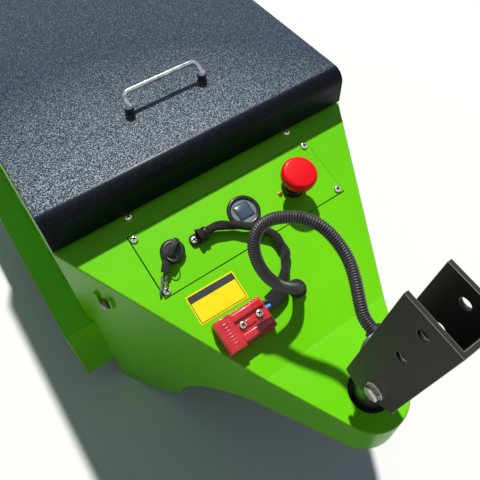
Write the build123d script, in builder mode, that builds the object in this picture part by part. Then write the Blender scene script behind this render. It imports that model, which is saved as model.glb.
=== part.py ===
from build123d import *
import math
import os

# Body of a pedestrian tow tractor, in millimetres.
# +X is the right, +Y runs from the tapered operator's nose to the back of the battery box, +Z is up.
# The origin is the centre of the four bolts that hold the lower frame to the drive axle.

# Sheet thicknesses
nose_sheet = 2.5
box_sheet = 2.0
lid_sheet = 2.0
frame_sheet = 4.0

# Nose: a panel that slopes to the operator, then a flatter deck round the steering head
panel_y = -255.0
panel_z = 250.0
panel_tilt = 15.4
deck_tilt = 7.0
crease_down_slope = 159.0
nose_shoulder = 6.3
tip_radius = 40.17
nose_back_y = -190.0
steer_y = -473.0
steer_hole_radius = 22.0

# Lower edge of the nose side plates, as (y, z) places
side_back_y = -205.0
side_back_z = -57.0
side_low_y = -255.0
side_low_z = -47.0
arch_back_y = -302.0
arch_back_z = 6.0
arch_mid_y = -333.0
arch_mid_z = 75.4
arch_front_y = -398.0
arch_front_z = 124.6
tip_bottom_z = 138.0

# Control plate, let into the sloping panel
plate_width = 237.0
plate_height = 77.0
plate_gap = 0.8
screw_inset = (5.1, 5.7)
screw_place = (plate_width / 2 - screw_inset[0], plate_height / 2 - screw_inset[1])
tab_size = (22.0, 24.0)

# Controls on the plate, as (right, up the slope) places from the plate's centre
key_inset = 31.5
key_place = (key_inset - plate_width / 2, 0.0)
key_barrel_diameter = 22.0
key_bezel_diameter = 26.5
key_bezel_height = 8.0
key_grip_length = 19.0
key_grip_thickness = 6.5
key_grip_height = 11.0
key_grip_angle = 38.0
gauge_place = (4.1, 0.0)
gauge_bezel_diameter = 38.0
gauge_bezel_height = 3.2
gauge_face_diameter = 28.6
gauge_can_diameter = 33.0
gauge_can_depth = 28.0
display_size = 16.3
display_height = 1.0
estop_inset = 49.0
estop_place = (plate_width / 2 - estop_inset, -4.0)
estop_barrel_diameter = 22.0
estop_collar_diameter = 27.0
estop_collar_height = 9.0
estop_head_diameter = 40.0
estop_head_top = 39.0
estop_head_low = 25.0
estop_head_round = 5.0
estop_head_chamfer = 3.0
estop_stem_diameter = 15.0
lamp_from_estop = 17.5
lamp_place = (estop_place[0] - lamp_from_estop, -3.6)
lamp_diameter = 5.6
barrel_depth = 34.0
fit_clearance = 0.15

# Cable clip, sleeve, leads and plug on the panel
boot_from_key = 30.0
boot_place = (key_place[0] + boot_from_key, -1.0)
boot_reach = 12.5
clip_length = 21.0
clip_width = 13.0
clip_foot_height = 3.0
clip_saddle_length = 11.5
clip_screw_inset = 4.5
clip_screw_diameter = 4.4
cable_height = 8.5
sleeve_diameter = 11.0
lead_diameter = 4.6
lead_spacing = 5.4
plug_place = (-72.3, -99.5)
plug_length = 48.0
plug_width = 35.0
plug_height = 16.0
plug_nose_length = 19.0
plug_rib_count = 9
plug_cavity_width = 12.5
plug_cavity_height = 9.5
plug_cavity_depth = 15.0
grommet_place = (2.8, -102.0)
grommet_hole_diameter = 16.4
grommet_rim_diameter = 20.5
grommet_rim_height = 2.6
grommet_wall = 1.4
conduit_diameter = 12.4

# Battery box
box_half_width = 190.0
box_front_y = -190.0
box_back_y = 205.0
box_top_z = 295.6
box_flange = 14.0
battery_size = (165.0, 197.0, 156.0)
battery_cap = (161.0, 193.0, 9.0)
battery_gap = 4.0
battery_y = -40.0
terminal_place = (52.0, 78.0)
terminal_radius = 8.5
terminal_height = 7.0

# Lower frame
frame_step = 35.0
frame_front_y = -205.0
frame_height = 116.0
frame_flange = 55.0
axle_bolt_inset = 35.0
axle_bolt_end_inset = 40.0
axle_bolt_radius = 5.5

# Lid
lid_front_y = -197.5
lid_top_z = 314.3
lid_roll_radius = 17.0
lid_apron_low_z = 269.0
lid_gap = 0.4
hinge_knuckle_radius = 4.5
hinge_pin_radius = 2.5
hinge_leaf = 2.5
hinge_leaf_height = 24.0
hinge_wall_gap = 0.4
hinge_knuckle_length = 44.0
hinge_count = 3
hinge_gap = 1.0

# Wire handle on the lid
handle_y = -112.5
handle_half_span = 47.0
handle_standoff_diameter = 11.0
handle_standoff_height = 10.7
handle_wire_diameter = 5.6
handle_leg = 3.0
handle_rise = 8.0
handle_reach = 11.5
handle_bend_radius = 6.0
handle_foot_bend = 3.0

# Steering head and tiller foot
head_outer_radius = 30.0
stem_radius = 15.0
stem_clearance = 0.05
collar_radius = 16.5
head_top_z = 186.0
head_bottom_z = 118.0
stem_bottom_z = 88.0
stem_end_radius = 12.5
beam_width = 60.0
beam_height = 40.0
beam_wall = 4.0
beam_top_z = 180.0
yoke_width = 34.0
yoke_clearance = 1.0
yoke_eye_radius = 15.0
lug_behind_head = 17.0
lug_back_y = steer_y + lug_behind_head
lug_thickness = 7.0
lug_top_z = 312.5
gland_z = 301.0
gland_radius = 8.2
gland_collar = 5.0
gland_neck_radius = 5.8
foot_plate = 4.0
pivot_before_head = 13.0
pivot_y = steer_y - pivot_before_head
pivot_z = 269.6
pivot_radius = 6.0
pivot_head_radius = 9.0
pivot_head_height = 8.0
foot_lean = 6.1
foot_back = 30.4
foot_front = -22.0
foot_top = 150.0
foot_web_low = 22.0
mast_bolt_heights = (82.0, 130.0)
mast_bolt_radius = 5.25

# Side guards
guard_place_y = -240.5
guard_place_z = 205.4
guard_inner_radius = 7.5
guard_wall = 3.5
guard_depth = 3.5
guard_leg = 16.0
guard_bolt_radius = 5.0
guard_bolt_height = 7.5

os.makedirs("parts", exist_ok=True)

# The nose's sides run from the shoulder in front of the box to the round tip, tangent to it
shoulder_y = nose_back_y - nose_shoulder
shoulder_reach = math.hypot(box_half_width, shoulder_y - steer_y)
nose_taper = math.acos(tip_radius / shoulder_reach) - math.atan2(shoulder_y - steer_y, box_half_width)
taper_slope = math.tan(nose_taper)
taper_cos = math.cos(nose_taper)
taper_sin = math.sin(nose_taper)
panel_slope = math.tan(math.radians(panel_tilt))
panel_cos = math.cos(math.radians(panel_tilt))
deck_slope = math.tan(math.radians(deck_tilt))
crease_y = panel_y - crease_down_slope * panel_cos
crease_z = panel_z - crease_down_slope * math.sin(math.radians(panel_tilt))
tip_y = steer_y - tip_radius
floor_z = frame_height
frame_half_width = box_half_width + frame_step
axle_bolts_x = 2 * (frame_half_width - axle_bolt_inset)
axle_bolts_y = box_back_y - frame_front_y - 2 * axle_bolt_end_inset
lid_half_width = box_half_width
lid_back_y = box_back_y
lid_flange_low_z = box_top_z + lid_gap

# The plane of the sloping panel: local x to the right, local y up the slope
panel_plane = Plane(
    origin=(0, panel_y, panel_z),
    x_dir=(1, 0, 0),
    z_dir=(0, -math.sin(math.radians(panel_tilt)), panel_cos),
)

panel_axis = Axis((0, 0, 0), panel_plane.z_dir)


def on_panel(place, height=0.0):
    """Plane parallel to the panel, at a place on it and a height above it."""
    return panel_plane.offset(height).shift_origin(
        panel_plane.offset(height).from_local_coords(Vector(*place, 0))
    )


def surface_z(y):
    """Height of the nose's top surface at a place along its length."""
    if y >= crease_y:
        return panel_z + panel_slope * (y - panel_y)
    return crease_z + deck_slope * (y - crease_y)


def nose_width_at(y, inset=0.0):
    """Half width of the tapered nose, inset square to its side."""
    tapered = box_half_width + taper_slope * (y - shoulder_y) - inset / taper_cos
    return min(tapered, box_half_width - inset)


def shoulder_at(inset=0.0):
    """Where the nose's taper ends and its sides run on parallel to the box."""
    return shoulder_y + inset / taper_slope * (1 / taper_cos - 1)


def save(part, name):
    """Label a finished piece and write it."""
    part.label = name
    export_step(part, "parts/" + name + ".step")


def nose_outline(inset, back_y):
    """Plan of the nose: two tapered sides and a round tip about the steering head."""
    radius = tip_radius - inset
    tangent = (radius * taper_cos, steer_y - radius * taper_sin)
    with BuildLine() as line:
        half = box_half_width - inset
        Polyline((0, back_y), (half, back_y), (half, shoulder_at(inset)), tangent)
        ThreePointArc(tangent, (0, steer_y - radius), (-tangent[0], tangent[1]))
        Polyline((-tangent[0], tangent[1]), (-half, shoulder_at(inset)), (-half, back_y), (0, back_y))
    return line


def side_profile(top_offset):
    """Side view of the nose below its top sheet, with the wheel arch cut into its lower edge."""
    arch_start = (arch_back_y, arch_back_z)
    arch_mid = (arch_mid_y, arch_mid_z)
    arch_end = (arch_front_y, arch_front_z)
    with BuildLine() as line:
        Polyline(
            arch_end,
            (tip_y - 1, tip_bottom_z),
            (tip_y - 1, surface_z(tip_y - 1) - top_offset),
            (crease_y, crease_z - top_offset),
            (nose_back_y, surface_z(nose_back_y) - top_offset),
            (nose_back_y, frame_height),
            (side_back_y, frame_height),
            (side_back_y, side_back_z),
        )
        ThreePointArc((side_back_y, side_back_z), (side_low_y, side_low_z), arch_start)
        ThreePointArc(arch_start, arch_mid, arch_end)
    return line


# Top sheet of the nose
top_offset = nose_sheet / panel_cos
with BuildPart() as nose_panel:
    with BuildSketch(Plane.YZ):
        with BuildLine():
            Polyline(
                (nose_back_y, surface_z(nose_back_y)),
                (crease_y, crease_z),
                (tip_y, surface_z(tip_y)),
                (tip_y, surface_z(tip_y) - top_offset),
                (crease_y, crease_z - top_offset),
                (nose_back_y, surface_z(nose_back_y) - top_offset),
                close=True,
            )
        make_face()
    extrude(amount=box_half_width * 2, both=True)
    with BuildSketch(Plane.XY):
        add(nose_outline(0, nose_back_y).line)
        make_face()
    extrude(amount=panel_z * 2, mode=Mode.INTERSECT)
    with BuildSketch(panel_plane):
        Rectangle(plate_width + 2 * plate_gap, plate_height + 2 * plate_gap)
        with Locations(grommet_place):
            Circle(grommet_hole_diameter / 2)
    extrude(amount=nose_sheet * 3, both=True, mode=Mode.SUBTRACT)
    with BuildSketch(Plane.XY):
        with Locations((0, steer_y)):
            Circle(steer_hole_radius)
    extrude(amount=panel_z * 2, mode=Mode.SUBTRACT)
save(nose_panel.part, "nose_panel")

# Tabs welded under the cut-out's corners, to which the control plate is screwed
with BuildPart() as plate_tabs:
    with BuildSketch(panel_plane.offset(-nose_sheet)):
        with GridLocations(2 * screw_place[0], 2 * screw_place[1], 2, 2):
            Rectangle(*tab_size)
    extrude(amount=-nose_sheet)
save(plate_tabs.part, "plate_tabs")

# Tapered side plates of the nose and the rounded plate at its tip
side_inner = nose_sheet
for side, name in ((-1, "nose_side_left"), (1, "nose_side_right")):
    with BuildPart() as nose_side:
        with BuildSketch(Plane.YZ):
            add(side_profile(top_offset).line)
            make_face()
        extrude(amount=side * box_half_width * 2)
        with BuildSketch(Plane.XY.offset(side_back_z * 2)):
            with BuildLine():
                Polyline(
                    (side * box_half_width, nose_back_y),
                    (side * box_half_width, shoulder_y),
                    (side * tip_radius * taper_cos, steer_y - tip_radius * taper_sin),
                    (
                        side * (tip_radius - side_inner) * taper_cos,
                        steer_y - (tip_radius - side_inner) * taper_sin,
                    ),
                    (side * (box_half_width - side_inner), shoulder_at(side_inner)),
                    (side * (box_half_width - side_inner), nose_back_y),
                    close=True,
                )
            make_face()
        extrude(amount=panel_z * 2, mode=Mode.INTERSECT)
    save(nose_side.part, name)

with BuildPart() as nose_tip:
    with BuildSketch(Plane.YZ):
        add(side_profile(top_offset).line)
        make_face()
    extrude(amount=box_half_width, both=True)
    with BuildSketch(Plane.XY):
        with Locations((0, steer_y)):
            Circle(tip_radius)
            Circle(tip_radius - nose_sheet, mode=Mode.SUBTRACT)
        with BuildLine():
            reach = tip_radius * 2
            Polyline(
                (0, steer_y),
                (reach * taper_cos, steer_y - reach * taper_sin),
                (reach, steer_y + reach),
                (-reach, steer_y + reach),
                (-reach * taper_cos, steer_y - reach * taper_sin),
                close=True,
            )
        make_face(mode=Mode.SUBTRACT)
    extrude(amount=panel_z * 2, mode=Mode.INTERSECT)
save(nose_tip.part, "nose_tip")

# Control plate with the holes for what is mounted in it
with BuildPart() as control_plate:
    with BuildSketch(panel_plane):
        Rectangle(plate_width, plate_height)
        fillet(vertices(), radius=1.5)
        with Locations(key_place):
            Circle(key_barrel_diameter / 2 + fit_clearance, mode=Mode.SUBTRACT)
        with Locations(gauge_place):
            Circle(gauge_can_diameter / 2 + fit_clearance, mode=Mode.SUBTRACT)
        with Locations(estop_place):
            Circle(estop_barrel_diameter / 2 + fit_clearance, mode=Mode.SUBTRACT)
    extrude(amount=-nose_sheet)
save(control_plate.part, "control_plate")

# Key switch, and the key that stands in it
with BuildPart() as key_switch:
    with BuildSketch(on_panel(key_place)):
        Circle(key_bezel_diameter / 2)
    extrude(amount=key_bezel_height, taper=4)
    fillet(key_switch.edges().group_by(panel_axis)[-1], radius=1.5)
    with BuildSketch(on_panel(key_place)):
        Circle(key_barrel_diameter / 2)
    extrude(amount=-barrel_depth)
save(key_switch.part, "key_switch")

with BuildPart() as key:
    with BuildSketch(on_panel(key_place, key_bezel_height)):
        SlotOverall(key_grip_length, key_grip_thickness, rotation=key_grip_angle)
    extrude(amount=key_grip_height, taper=5)
save(key.part, "key")

# Round gauge with a square display
with BuildPart() as gauge:
    with BuildSketch(on_panel(gauge_place)):
        Circle(gauge_bezel_diameter / 2)
    extrude(amount=gauge_bezel_height)
    chamfer(gauge.edges().group_by(panel_axis)[-1], length=1.2)
    with BuildSketch(on_panel(gauge_place, gauge_bezel_height)):
        Circle(gauge_face_diameter / 2)
    extrude(amount=-(gauge_bezel_height - display_height), mode=Mode.SUBTRACT)
    with BuildSketch(on_panel(gauge_place)):
        Circle(gauge_can_diameter / 2)
    extrude(amount=-gauge_can_depth)
save(gauge.part, "gauge")

with BuildPart() as gauge_display:
    with BuildSketch(on_panel(gauge_place, display_height)):
        Rectangle(display_size, display_size)
    extrude(amount=display_height)
save(gauge_display.part, "gauge_display")

# Emergency stop: collar and barrel through the plate, and its mushroom head
with BuildPart() as estop_base:
    with BuildSketch(on_panel(estop_place)):
        Circle(estop_collar_diameter / 2)
    extrude(amount=estop_collar_height, taper=6)
    with BuildSketch(on_panel(estop_place)):
        Circle(estop_barrel_diameter / 2)
    extrude(amount=-barrel_depth)
save(estop_base.part, "estop_base")

with BuildPart() as estop_head:
    with BuildSketch(on_panel(estop_place, estop_head_low)):
        Circle(estop_head_diameter / 2)
    extrude(amount=estop_head_top - estop_head_low)
    rims = estop_head.edges().group_by(panel_axis)
    fillet(rims[-1], radius=estop_head_round)
    chamfer(rims[0], length=estop_head_chamfer)
    with BuildSketch(on_panel(estop_place, estop_collar_height)):
        Circle(estop_stem_diameter / 2)
    extrude(amount=estop_head_low - estop_collar_height)
save(estop_head.part, "estop_head")

with BuildPart() as charge_lamp:
    with BuildSketch(on_panel(lamp_place)):
        Circle(lamp_diameter / 2)
    extrude(amount=1.8)
    fillet(charge_lamp.edges().group_by(panel_axis)[-1], radius=0.8)
save(charge_lamp.part, "charge_lamp")

# Clip with a screwed foot that holds the start of the sleeve down on the plate
boot_end = boot_place[0] + boot_reach
with BuildPart() as cable_boot:
    with BuildSketch(on_panel((boot_end - clip_length / 2, boot_place[1]))):
        RectangleRounded(clip_length, clip_width, clip_screw_inset)
    extrude(amount=clip_foot_height)
    boot_side = on_panel((boot_end, boot_place[1]), cable_height)
    with BuildSketch(Plane(origin=boot_side.origin, x_dir=boot_side.y_dir, z_dir=boot_side.x_dir)):
        Circle(clip_width / 2)
        with Locations((0, -cable_height / 2)):
            Rectangle(clip_width, cable_height)
    extrude(amount=-clip_saddle_length)
    with BuildSketch(on_panel((boot_end - clip_length + clip_screw_inset, boot_place[1]))):
        Circle(clip_screw_diameter / 2)
    extrude(amount=clip_foot_height, mode=Mode.SUBTRACT)
save(cable_boot.part, "cable_boot")


def panel_points(places):
    """Points above the panel from (right, up the slope, height) places."""
    return [panel_plane.from_local_coords(Vector(*place)) for place in places]


def corner_radii(points):
    """Largest tangent radius that each corner of a route allows, at 0.45 of its shorter run."""
    radii = []
    for before, corner, after in zip(points, points[1:], points[2:]):
        run_in = corner - before
        run_out = after - corner
        turn = math.radians(run_in.get_angle(run_out))
        radii.append(0.45 * min(run_in.length, run_out.length) / math.tan(turn / 2))
    return radii


def cord(points, diameter, name):
    """Round cord along straight runs joined by tangent arcs."""
    radii = corner_radii(points)
    print(name, "radii", [round(radius) for radius in radii])
    with BuildPart() as tube:
        with BuildLine() as route:
            FilletPolyline(*points, radius=radii)
        start = route.line @ 0
        with BuildSketch(Plane(origin=start, z_dir=route.line % 0)):
            Circle(diameter / 2)
        sweep()
    length = sum(edge.length for edge in route.line.edges())
    share = tube.part.volume / (math.pi * diameter**2 / 4 * length)
    print(name, "length", round(length), "volume over section times length", round(share, 3))
    save(tube.part, name)


sleeve_route = [
    (boot_end, boot_place[1], cable_height),
    (boot_end + 11.5, boot_place[1], cable_height),
    (-19.0, -8.5, 9.5),
    (-4.0, -20.0, 9.0),
    (9.0, -31.5, 8.0),
    (17.0, -47.0, 7.0),
    (13.5, -64.0, 6.5),
    (3.0, -77.5, 7.0),
    (-9.5, -90.5, 7.5),
    (-22.5, -99.5, 8.0),
    (-34.0, -99.5, 8.0),
]
cord(panel_points(sleeve_route), sleeve_diameter, "sleeve")
sleeve_end = sleeve_route[-1][0]
plug_back = plug_place[0] + plug_length / 2
for name, across in (("lead_blue", -lead_spacing / 2), ("lead_black", lead_spacing / 2)):
    lead_start = on_panel((plug_back, plug_place[1] + across), plug_height / 2).origin
    with BuildPart() as lead:
        with BuildSketch(Plane(origin=lead_start, x_dir=panel_plane.y_dir, z_dir=panel_plane.x_dir)):
            Circle(lead_diameter / 2)
        extrude(amount=sleeve_end - plug_back)
    save(lead.part, name)

# Two-pole plug that lies on the panel
with BuildPart() as plug:
    plug_plane = on_panel(plug_place)
    with BuildSketch(plug_plane):
        Rectangle(plug_length, plug_width)
    extrude(amount=plug_height)
    fillet(plug.edges().filter_by(panel_axis), radius=1.2)
    rib_pitch = (plug_length - plug_nose_length) / plug_rib_count
    with BuildSketch(plug_plane):
        for edge in (-1, 1):
            for rib in range(plug_rib_count):
                with Locations((plug_length / 2 - rib_pitch * (rib + 0.5), edge * plug_width / 2)):
                    Rectangle(rib_pitch * 0.45, 2.4)
    extrude(amount=plug_height, mode=Mode.SUBTRACT)
    with BuildSketch(plug_plane.offset(plug_height)):
        with Locations(((plug_nose_length - 2) / 2, 0)):
            Rectangle(plug_length - plug_nose_length - 2, plug_width * 0.4)
    extrude(amount=-2.5, mode=Mode.SUBTRACT)
    mouth = on_panel((plug_place[0] - plug_length / 2, plug_place[1]), plug_height / 2)
    with BuildSketch(Plane(origin=mouth.origin, x_dir=mouth.y_dir, z_dir=mouth.x_dir)):
        with GridLocations(plug_width / 2 - 1, 1, 2, 1):
            Rectangle(plug_cavity_width, plug_cavity_height)
    extrude(amount=plug_cavity_depth, mode=Mode.SUBTRACT)
save(plug.part, "plug")

# Grommet in the panel, with a collar along which the conduit rises out of it
conduit_route = [
    Vector(0.0, -356.5, 230.8),
    Vector(-4.0, -361.0, 242.0),
    Vector(-13.5, -362.5, 254.0),
    Vector(-25.5, -358.5, 266.0),
    Vector(-35.0, -350.5, 280.0),
    Vector(-39.0, -340.0, 295.0),
    Vector(-37.5, -329.5, 310.0),
    Vector(-29.0, -323.5, 323.0),
    Vector(-17.5, -326.5, 334.0),
    Vector(-5.5, -337.5, 341.0),
    Vector(6.0, -350.5, 343.0),
    Vector(14.0, -363.3, 339.0),
    Vector(18.0, -377.3, 332.0),
]
conduit_rest = [
    Vector(18.0, -380.3, 330.5),
    Vector(18.5, -394.0, 324.0),
    Vector(14.5, -408.0, 317.5),
    Vector(9.0, -420.0, 311.5),
    Vector(4.0, -430.5, 305.5),
    Vector(0.0, -441.0, 301.0),
    Vector(0.0, -451.0, 301.0),
]
grommet_plane = on_panel(grommet_place)
conduit_start = (conduit_route[1] - conduit_route[0]).normalized()
collar_length = (conduit_route[0] - grommet_plane.origin).length
with BuildPart() as grommet:
    with BuildSketch(grommet_plane):
        Circle(grommet_rim_diameter / 2)
    extrude(amount=grommet_rim_height)
    with BuildSketch(grommet_plane):
        Circle(grommet_hole_diameter / 2)
    extrude(amount=-(nose_sheet + grommet_rim_height))
    with BuildSketch(Plane(origin=conduit_route[0], z_dir=conduit_start)):
        Circle(conduit_diameter / 2 + grommet_wall)
    extrude(amount=-collar_length)
save(grommet.part, "grommet")
cord(conduit_route, conduit_diameter, "conduit")
cord(conduit_rest, conduit_diameter, "conduit_end")

# Steering beam from the box's bulkhead to the steering head
beam_back_y = box_front_y
beam_front_y = steer_y + head_outer_radius - 3
with BuildPart() as steering_beam:
    with BuildSketch(Plane.XZ.offset(-beam_back_y)):
        with Locations((0, beam_top_z - beam_height / 2)):
            Rectangle(beam_width, beam_height)
            Rectangle(beam_width - 2 * beam_wall, beam_height - 2 * beam_wall, mode=Mode.SUBTRACT)
    extrude(amount=beam_back_y - beam_front_y)
    with BuildSketch(Plane.XY):
        with Locations((0, steer_y)):
            Circle(head_outer_radius)
    extrude(amount=panel_z, mode=Mode.SUBTRACT)
save(steering_beam.part, "steering_beam")

with BuildPart() as head_tube:
    with BuildSketch(Plane.XY.offset(head_bottom_z)):
        with Locations((0, steer_y)):
            Circle(head_outer_radius)
            Circle(stem_radius + stem_clearance, mode=Mode.SUBTRACT)
    extrude(amount=head_top_z - head_bottom_z)
save(head_tube.part, "head_tube")

# Swivel yoke: stem in the steering head, collar through the deck, eye for the pivot bolt
with BuildPart() as swivel_yoke:
    with BuildSketch(Plane.XY.offset(stem_bottom_z)):
        with Locations((0, steer_y)):
            Circle(stem_end_radius)
    extrude(amount=head_bottom_z - stem_bottom_z)
    with BuildSketch(Plane.XY.offset(head_bottom_z)):
        with Locations((0, steer_y)):
            Circle(stem_radius)
    extrude(amount=head_top_z - head_bottom_z)
    with BuildSketch(Plane.XY.offset(head_top_z)):
        with Locations((0, steer_y)):
            Circle(collar_radius)
    extrude(amount=pivot_z - yoke_eye_radius - head_top_z)
    with BuildSketch(Plane.YZ):
        with BuildLine():
            yoke_low = pivot_z - yoke_eye_radius - 12
            Polyline(
                (pivot_y - yoke_eye_radius, pivot_z),
                (pivot_y - yoke_eye_radius, yoke_low + 10),
                (pivot_y - 4, yoke_low),
                (lug_back_y, yoke_low),
                (lug_back_y, pivot_z + yoke_eye_radius),
                (pivot_y, pivot_z + yoke_eye_radius),
            )
            RadiusArc((pivot_y, pivot_z + yoke_eye_radius), (pivot_y - yoke_eye_radius, pivot_z), -yoke_eye_radius)
        make_face()
    extrude(amount=yoke_width / 2, both=True)
    with BuildSketch(Plane.XZ.offset(-lug_back_y)):
        with Locations((0, (pivot_z + lug_top_z) / 2)):
            Rectangle(yoke_width, lug_top_z - pivot_z)
    extrude(amount=lug_thickness)
    fillet(swivel_yoke.edges().filter_by(Axis.Y).group_by(Axis.Z)[-1], radius=6)
    with BuildSketch(Plane.XZ.offset(-lug_back_y)):
        with Locations((0, gland_z)):
            Circle(gland_neck_radius + stem_clearance)
    extrude(amount=lug_thickness, mode=Mode.SUBTRACT)
    with BuildSketch(Plane.YZ):
        with Locations((pivot_y, pivot_z)):
            Circle(pivot_radius + stem_clearance)
    extrude(amount=yoke_width, both=True, mode=Mode.SUBTRACT)
save(swivel_yoke.part, "swivel_yoke")

# Gland in the yoke's lug that takes the conduit's end
with BuildPart() as conduit_gland:
    with BuildSketch(Plane.XZ.offset(-(lug_back_y + gland_collar))):
        with Locations((0, gland_z)):
            Circle(gland_radius)
    extrude(amount=gland_collar)
    with BuildSketch(Plane.XZ.offset(-lug_back_y)):
        with Locations((0, gland_z)):
            Circle(gland_neck_radius)
    extrude(amount=lug_thickness)
    with BuildSketch(Plane.XZ.offset(lug_thickness - lug_back_y)):
        with Locations((0, gland_z)):
            RegularPolygon(gland_radius - 0.8, 6, major_radius=False)
    extrude(amount=4)
save(conduit_gland.part, "conduit_gland")

# Tiller foot: an open channel that tilts on the pivot bolt
foot_plane = Plane(
    origin=(0, pivot_y, pivot_z),
    x_dir=(0, math.cos(math.radians(foot_lean)), math.sin(math.radians(foot_lean))),
    z_dir=(1, 0, 0),
)
foot_inner = yoke_width / 2 + yoke_clearance
foot_outer = foot_inner + foot_plate
with BuildPart() as tiller_foot:
    with BuildSketch(foot_plane):
        with BuildLine():
            Polyline(
                (foot_back, foot_top),
                (foot_back, -26.4),
                (15.6, -32.4),
                (-4.2, -20.3),
                (foot_front, -6.0),
                (foot_front, foot_top),
                close=True,
            )
        make_face()
        fillet(vertices().sort_by(Axis.Y)[:4], radius=3)
    extrude(amount=foot_outer, both=True)
    with BuildSketch(foot_plane):
        with Locations(((foot_back + foot_front + foot_plate) / 2 + 10, foot_top / 2)):
            Rectangle(foot_back - foot_front - foot_plate + 20, foot_top * 3)
    extrude(amount=foot_inner, both=True, mode=Mode.SUBTRACT)
    with BuildSketch(foot_plane):
        with Locations((foot_front + foot_plate, foot_web_low - foot_top / 2)):
            Rectangle(foot_plate * 4, foot_top)
    extrude(amount=foot_inner, both=True, mode=Mode.SUBTRACT)
    with BuildSketch(foot_plane):
        Circle(pivot_radius + stem_clearance)
        for height in mast_bolt_heights:
            with Locations((4, height)):
                Circle(mast_bolt_radius)
    extrude(amount=foot_outer * 2, both=True, mode=Mode.SUBTRACT)
save(tiller_foot.part, "tiller_foot")

with BuildPart() as pivot_bolt:
    with BuildSketch(Plane.YZ.offset(-foot_outer - pivot_head_height)):
        with Locations((pivot_y, pivot_z)):
            Circle(pivot_head_radius)
    extrude(amount=pivot_head_height)
    fillet(pivot_bolt.edges().group_by(Axis.X)[0], radius=1.2)
    with BuildSketch(Plane.YZ.offset(-foot_outer)):
        with Locations((pivot_y, pivot_z)):
            Circle(pivot_radius)
    extrude(amount=2 * foot_outer + 12)
    with BuildSketch(Plane.YZ.offset(foot_outer)):
        with Locations((pivot_y, pivot_z)):
            RegularPolygon(9, 6, major_radius=False)
    extrude(amount=9)
save(pivot_bolt.part, "pivot_bolt")

# Battery box: floor, two sides, back and the bulkhead behind the nose
box_wall_height = box_top_z - floor_z
with BuildPart() as box_floor:
    with BuildSketch(Plane.XY.offset(floor_z)):
        with Locations((0, (box_front_y + box_back_y) / 2)):
            Rectangle(2 * box_half_width, box_back_y - box_front_y)
    extrude(amount=box_sheet)
save(box_floor.part, "box_floor")

wall_low_z = floor_z + box_sheet
for side, name in ((-1, "box_side_left"), (1, "box_side_right")):
    with BuildPart() as box_side:
        with BuildSketch(Plane.XZ.offset(-box_front_y)):
            with BuildLine():
                Polyline(
                    (side * box_half_width, wall_low_z),
                    (side * box_half_width, box_top_z),
                    (side * (box_half_width - box_flange), box_top_z),
                    (side * (box_half_width - box_flange), box_top_z - box_sheet),
                    (side * (box_half_width - box_sheet), box_top_z - box_sheet),
                    (side * (box_half_width - box_sheet), wall_low_z),
                    close=True,
                )
            make_face()
        extrude(amount=-(box_back_y - box_front_y))
    save(box_side.part, name)

inner_half_width = box_half_width - box_sheet
for name, outer_y, inward in (("box_back", box_back_y, -1), ("box_bulkhead", box_front_y, 1)):
    with BuildPart() as box_end:
        with BuildSketch(Plane.XY.offset(wall_low_z)):
            with Locations((0, outer_y + inward * box_sheet / 2)):
                Rectangle(2 * inner_half_width, box_sheet)
        extrude(amount=box_top_z - box_sheet - wall_low_z)
    save(box_end.part, name)

# Two batteries side by side, each with its cap and two terminal posts
for side, name in ((-1, "battery_left"), (1, "battery_right")):
    battery_x = side * (battery_size[0] + battery_gap) / 2
    with BuildPart() as battery:
        with BuildSketch(Plane.XY.offset(wall_low_z)):
            with Locations((battery_x, battery_y)):
                Rectangle(battery_size[0], battery_size[1])
        extrude(amount=battery_size[2])
        fillet(battery.edges().filter_by(Axis.Z), radius=5)
        cap_z = wall_low_z + battery_size[2]
        with BuildSketch(Plane.XY.offset(cap_z)):
            with Locations((battery_x, battery_y)):
                Rectangle(battery_cap[0], battery_cap[1])
                fillet(vertices(), radius=4)
        extrude(amount=battery_cap[2])
        with BuildSketch(Plane.XY.offset(cap_z + battery_cap[2])):
            for across in (-1, 1):
                with Locations((battery_x + across * terminal_place[0], battery_y - terminal_place[1])):
                    Circle(terminal_radius)
        extrude(amount=terminal_height, taper=3)
    save(battery.part, name)

# Lower frame: a folded front plate, two side rails and a back rail with an inward bottom flange
with BuildPart() as frame_front:
    with BuildSketch(Plane.XZ.offset(-frame_front_y)):
        with Locations((0, frame_height / 2)):
            Rectangle(2 * frame_half_width, frame_height)
    extrude(amount=-frame_sheet)
save(frame_front.part, "frame_front")

frame_back_y = box_back_y
for side, name in ((-1, "frame_rail_left"), (1, "frame_rail_right")):
    with BuildPart() as frame_rail:
        with BuildSketch(Plane.XZ.offset(-(frame_front_y + frame_sheet))):
            with BuildLine():
                outer = side * frame_half_width
                Polyline(
                    (outer, 0),
                    (outer, frame_height),
                    (outer - side * frame_flange, frame_height),
                    (outer - side * frame_flange, frame_height - frame_sheet),
                    (outer - side * frame_sheet, frame_height - frame_sheet),
                    (outer - side * frame_sheet, frame_sheet),
                    (outer - side * frame_flange, frame_sheet),
                    (outer - side * frame_flange, 0),
                    close=True,
                )
            make_face()
        extrude(amount=-(frame_back_y - frame_front_y - frame_sheet))
        with BuildSketch(Plane.XY):
            with Locations(
                (side * axle_bolts_x / 2, -axle_bolts_y / 2),
                (side * axle_bolts_x / 2, axle_bolts_y / 2),
            ):
                Circle(axle_bolt_radius)
        extrude(amount=frame_sheet, mode=Mode.SUBTRACT)
    save(frame_rail.part, name)

with BuildPart() as frame_back:
    with BuildSketch(Plane.XZ.offset(-frame_back_y)):
        with Locations((0, frame_height / 2)):
            Rectangle(2 * frame_half_width, frame_height)
    extrude(amount=-frame_sheet)
save(frame_back.part, "frame_back")

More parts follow.
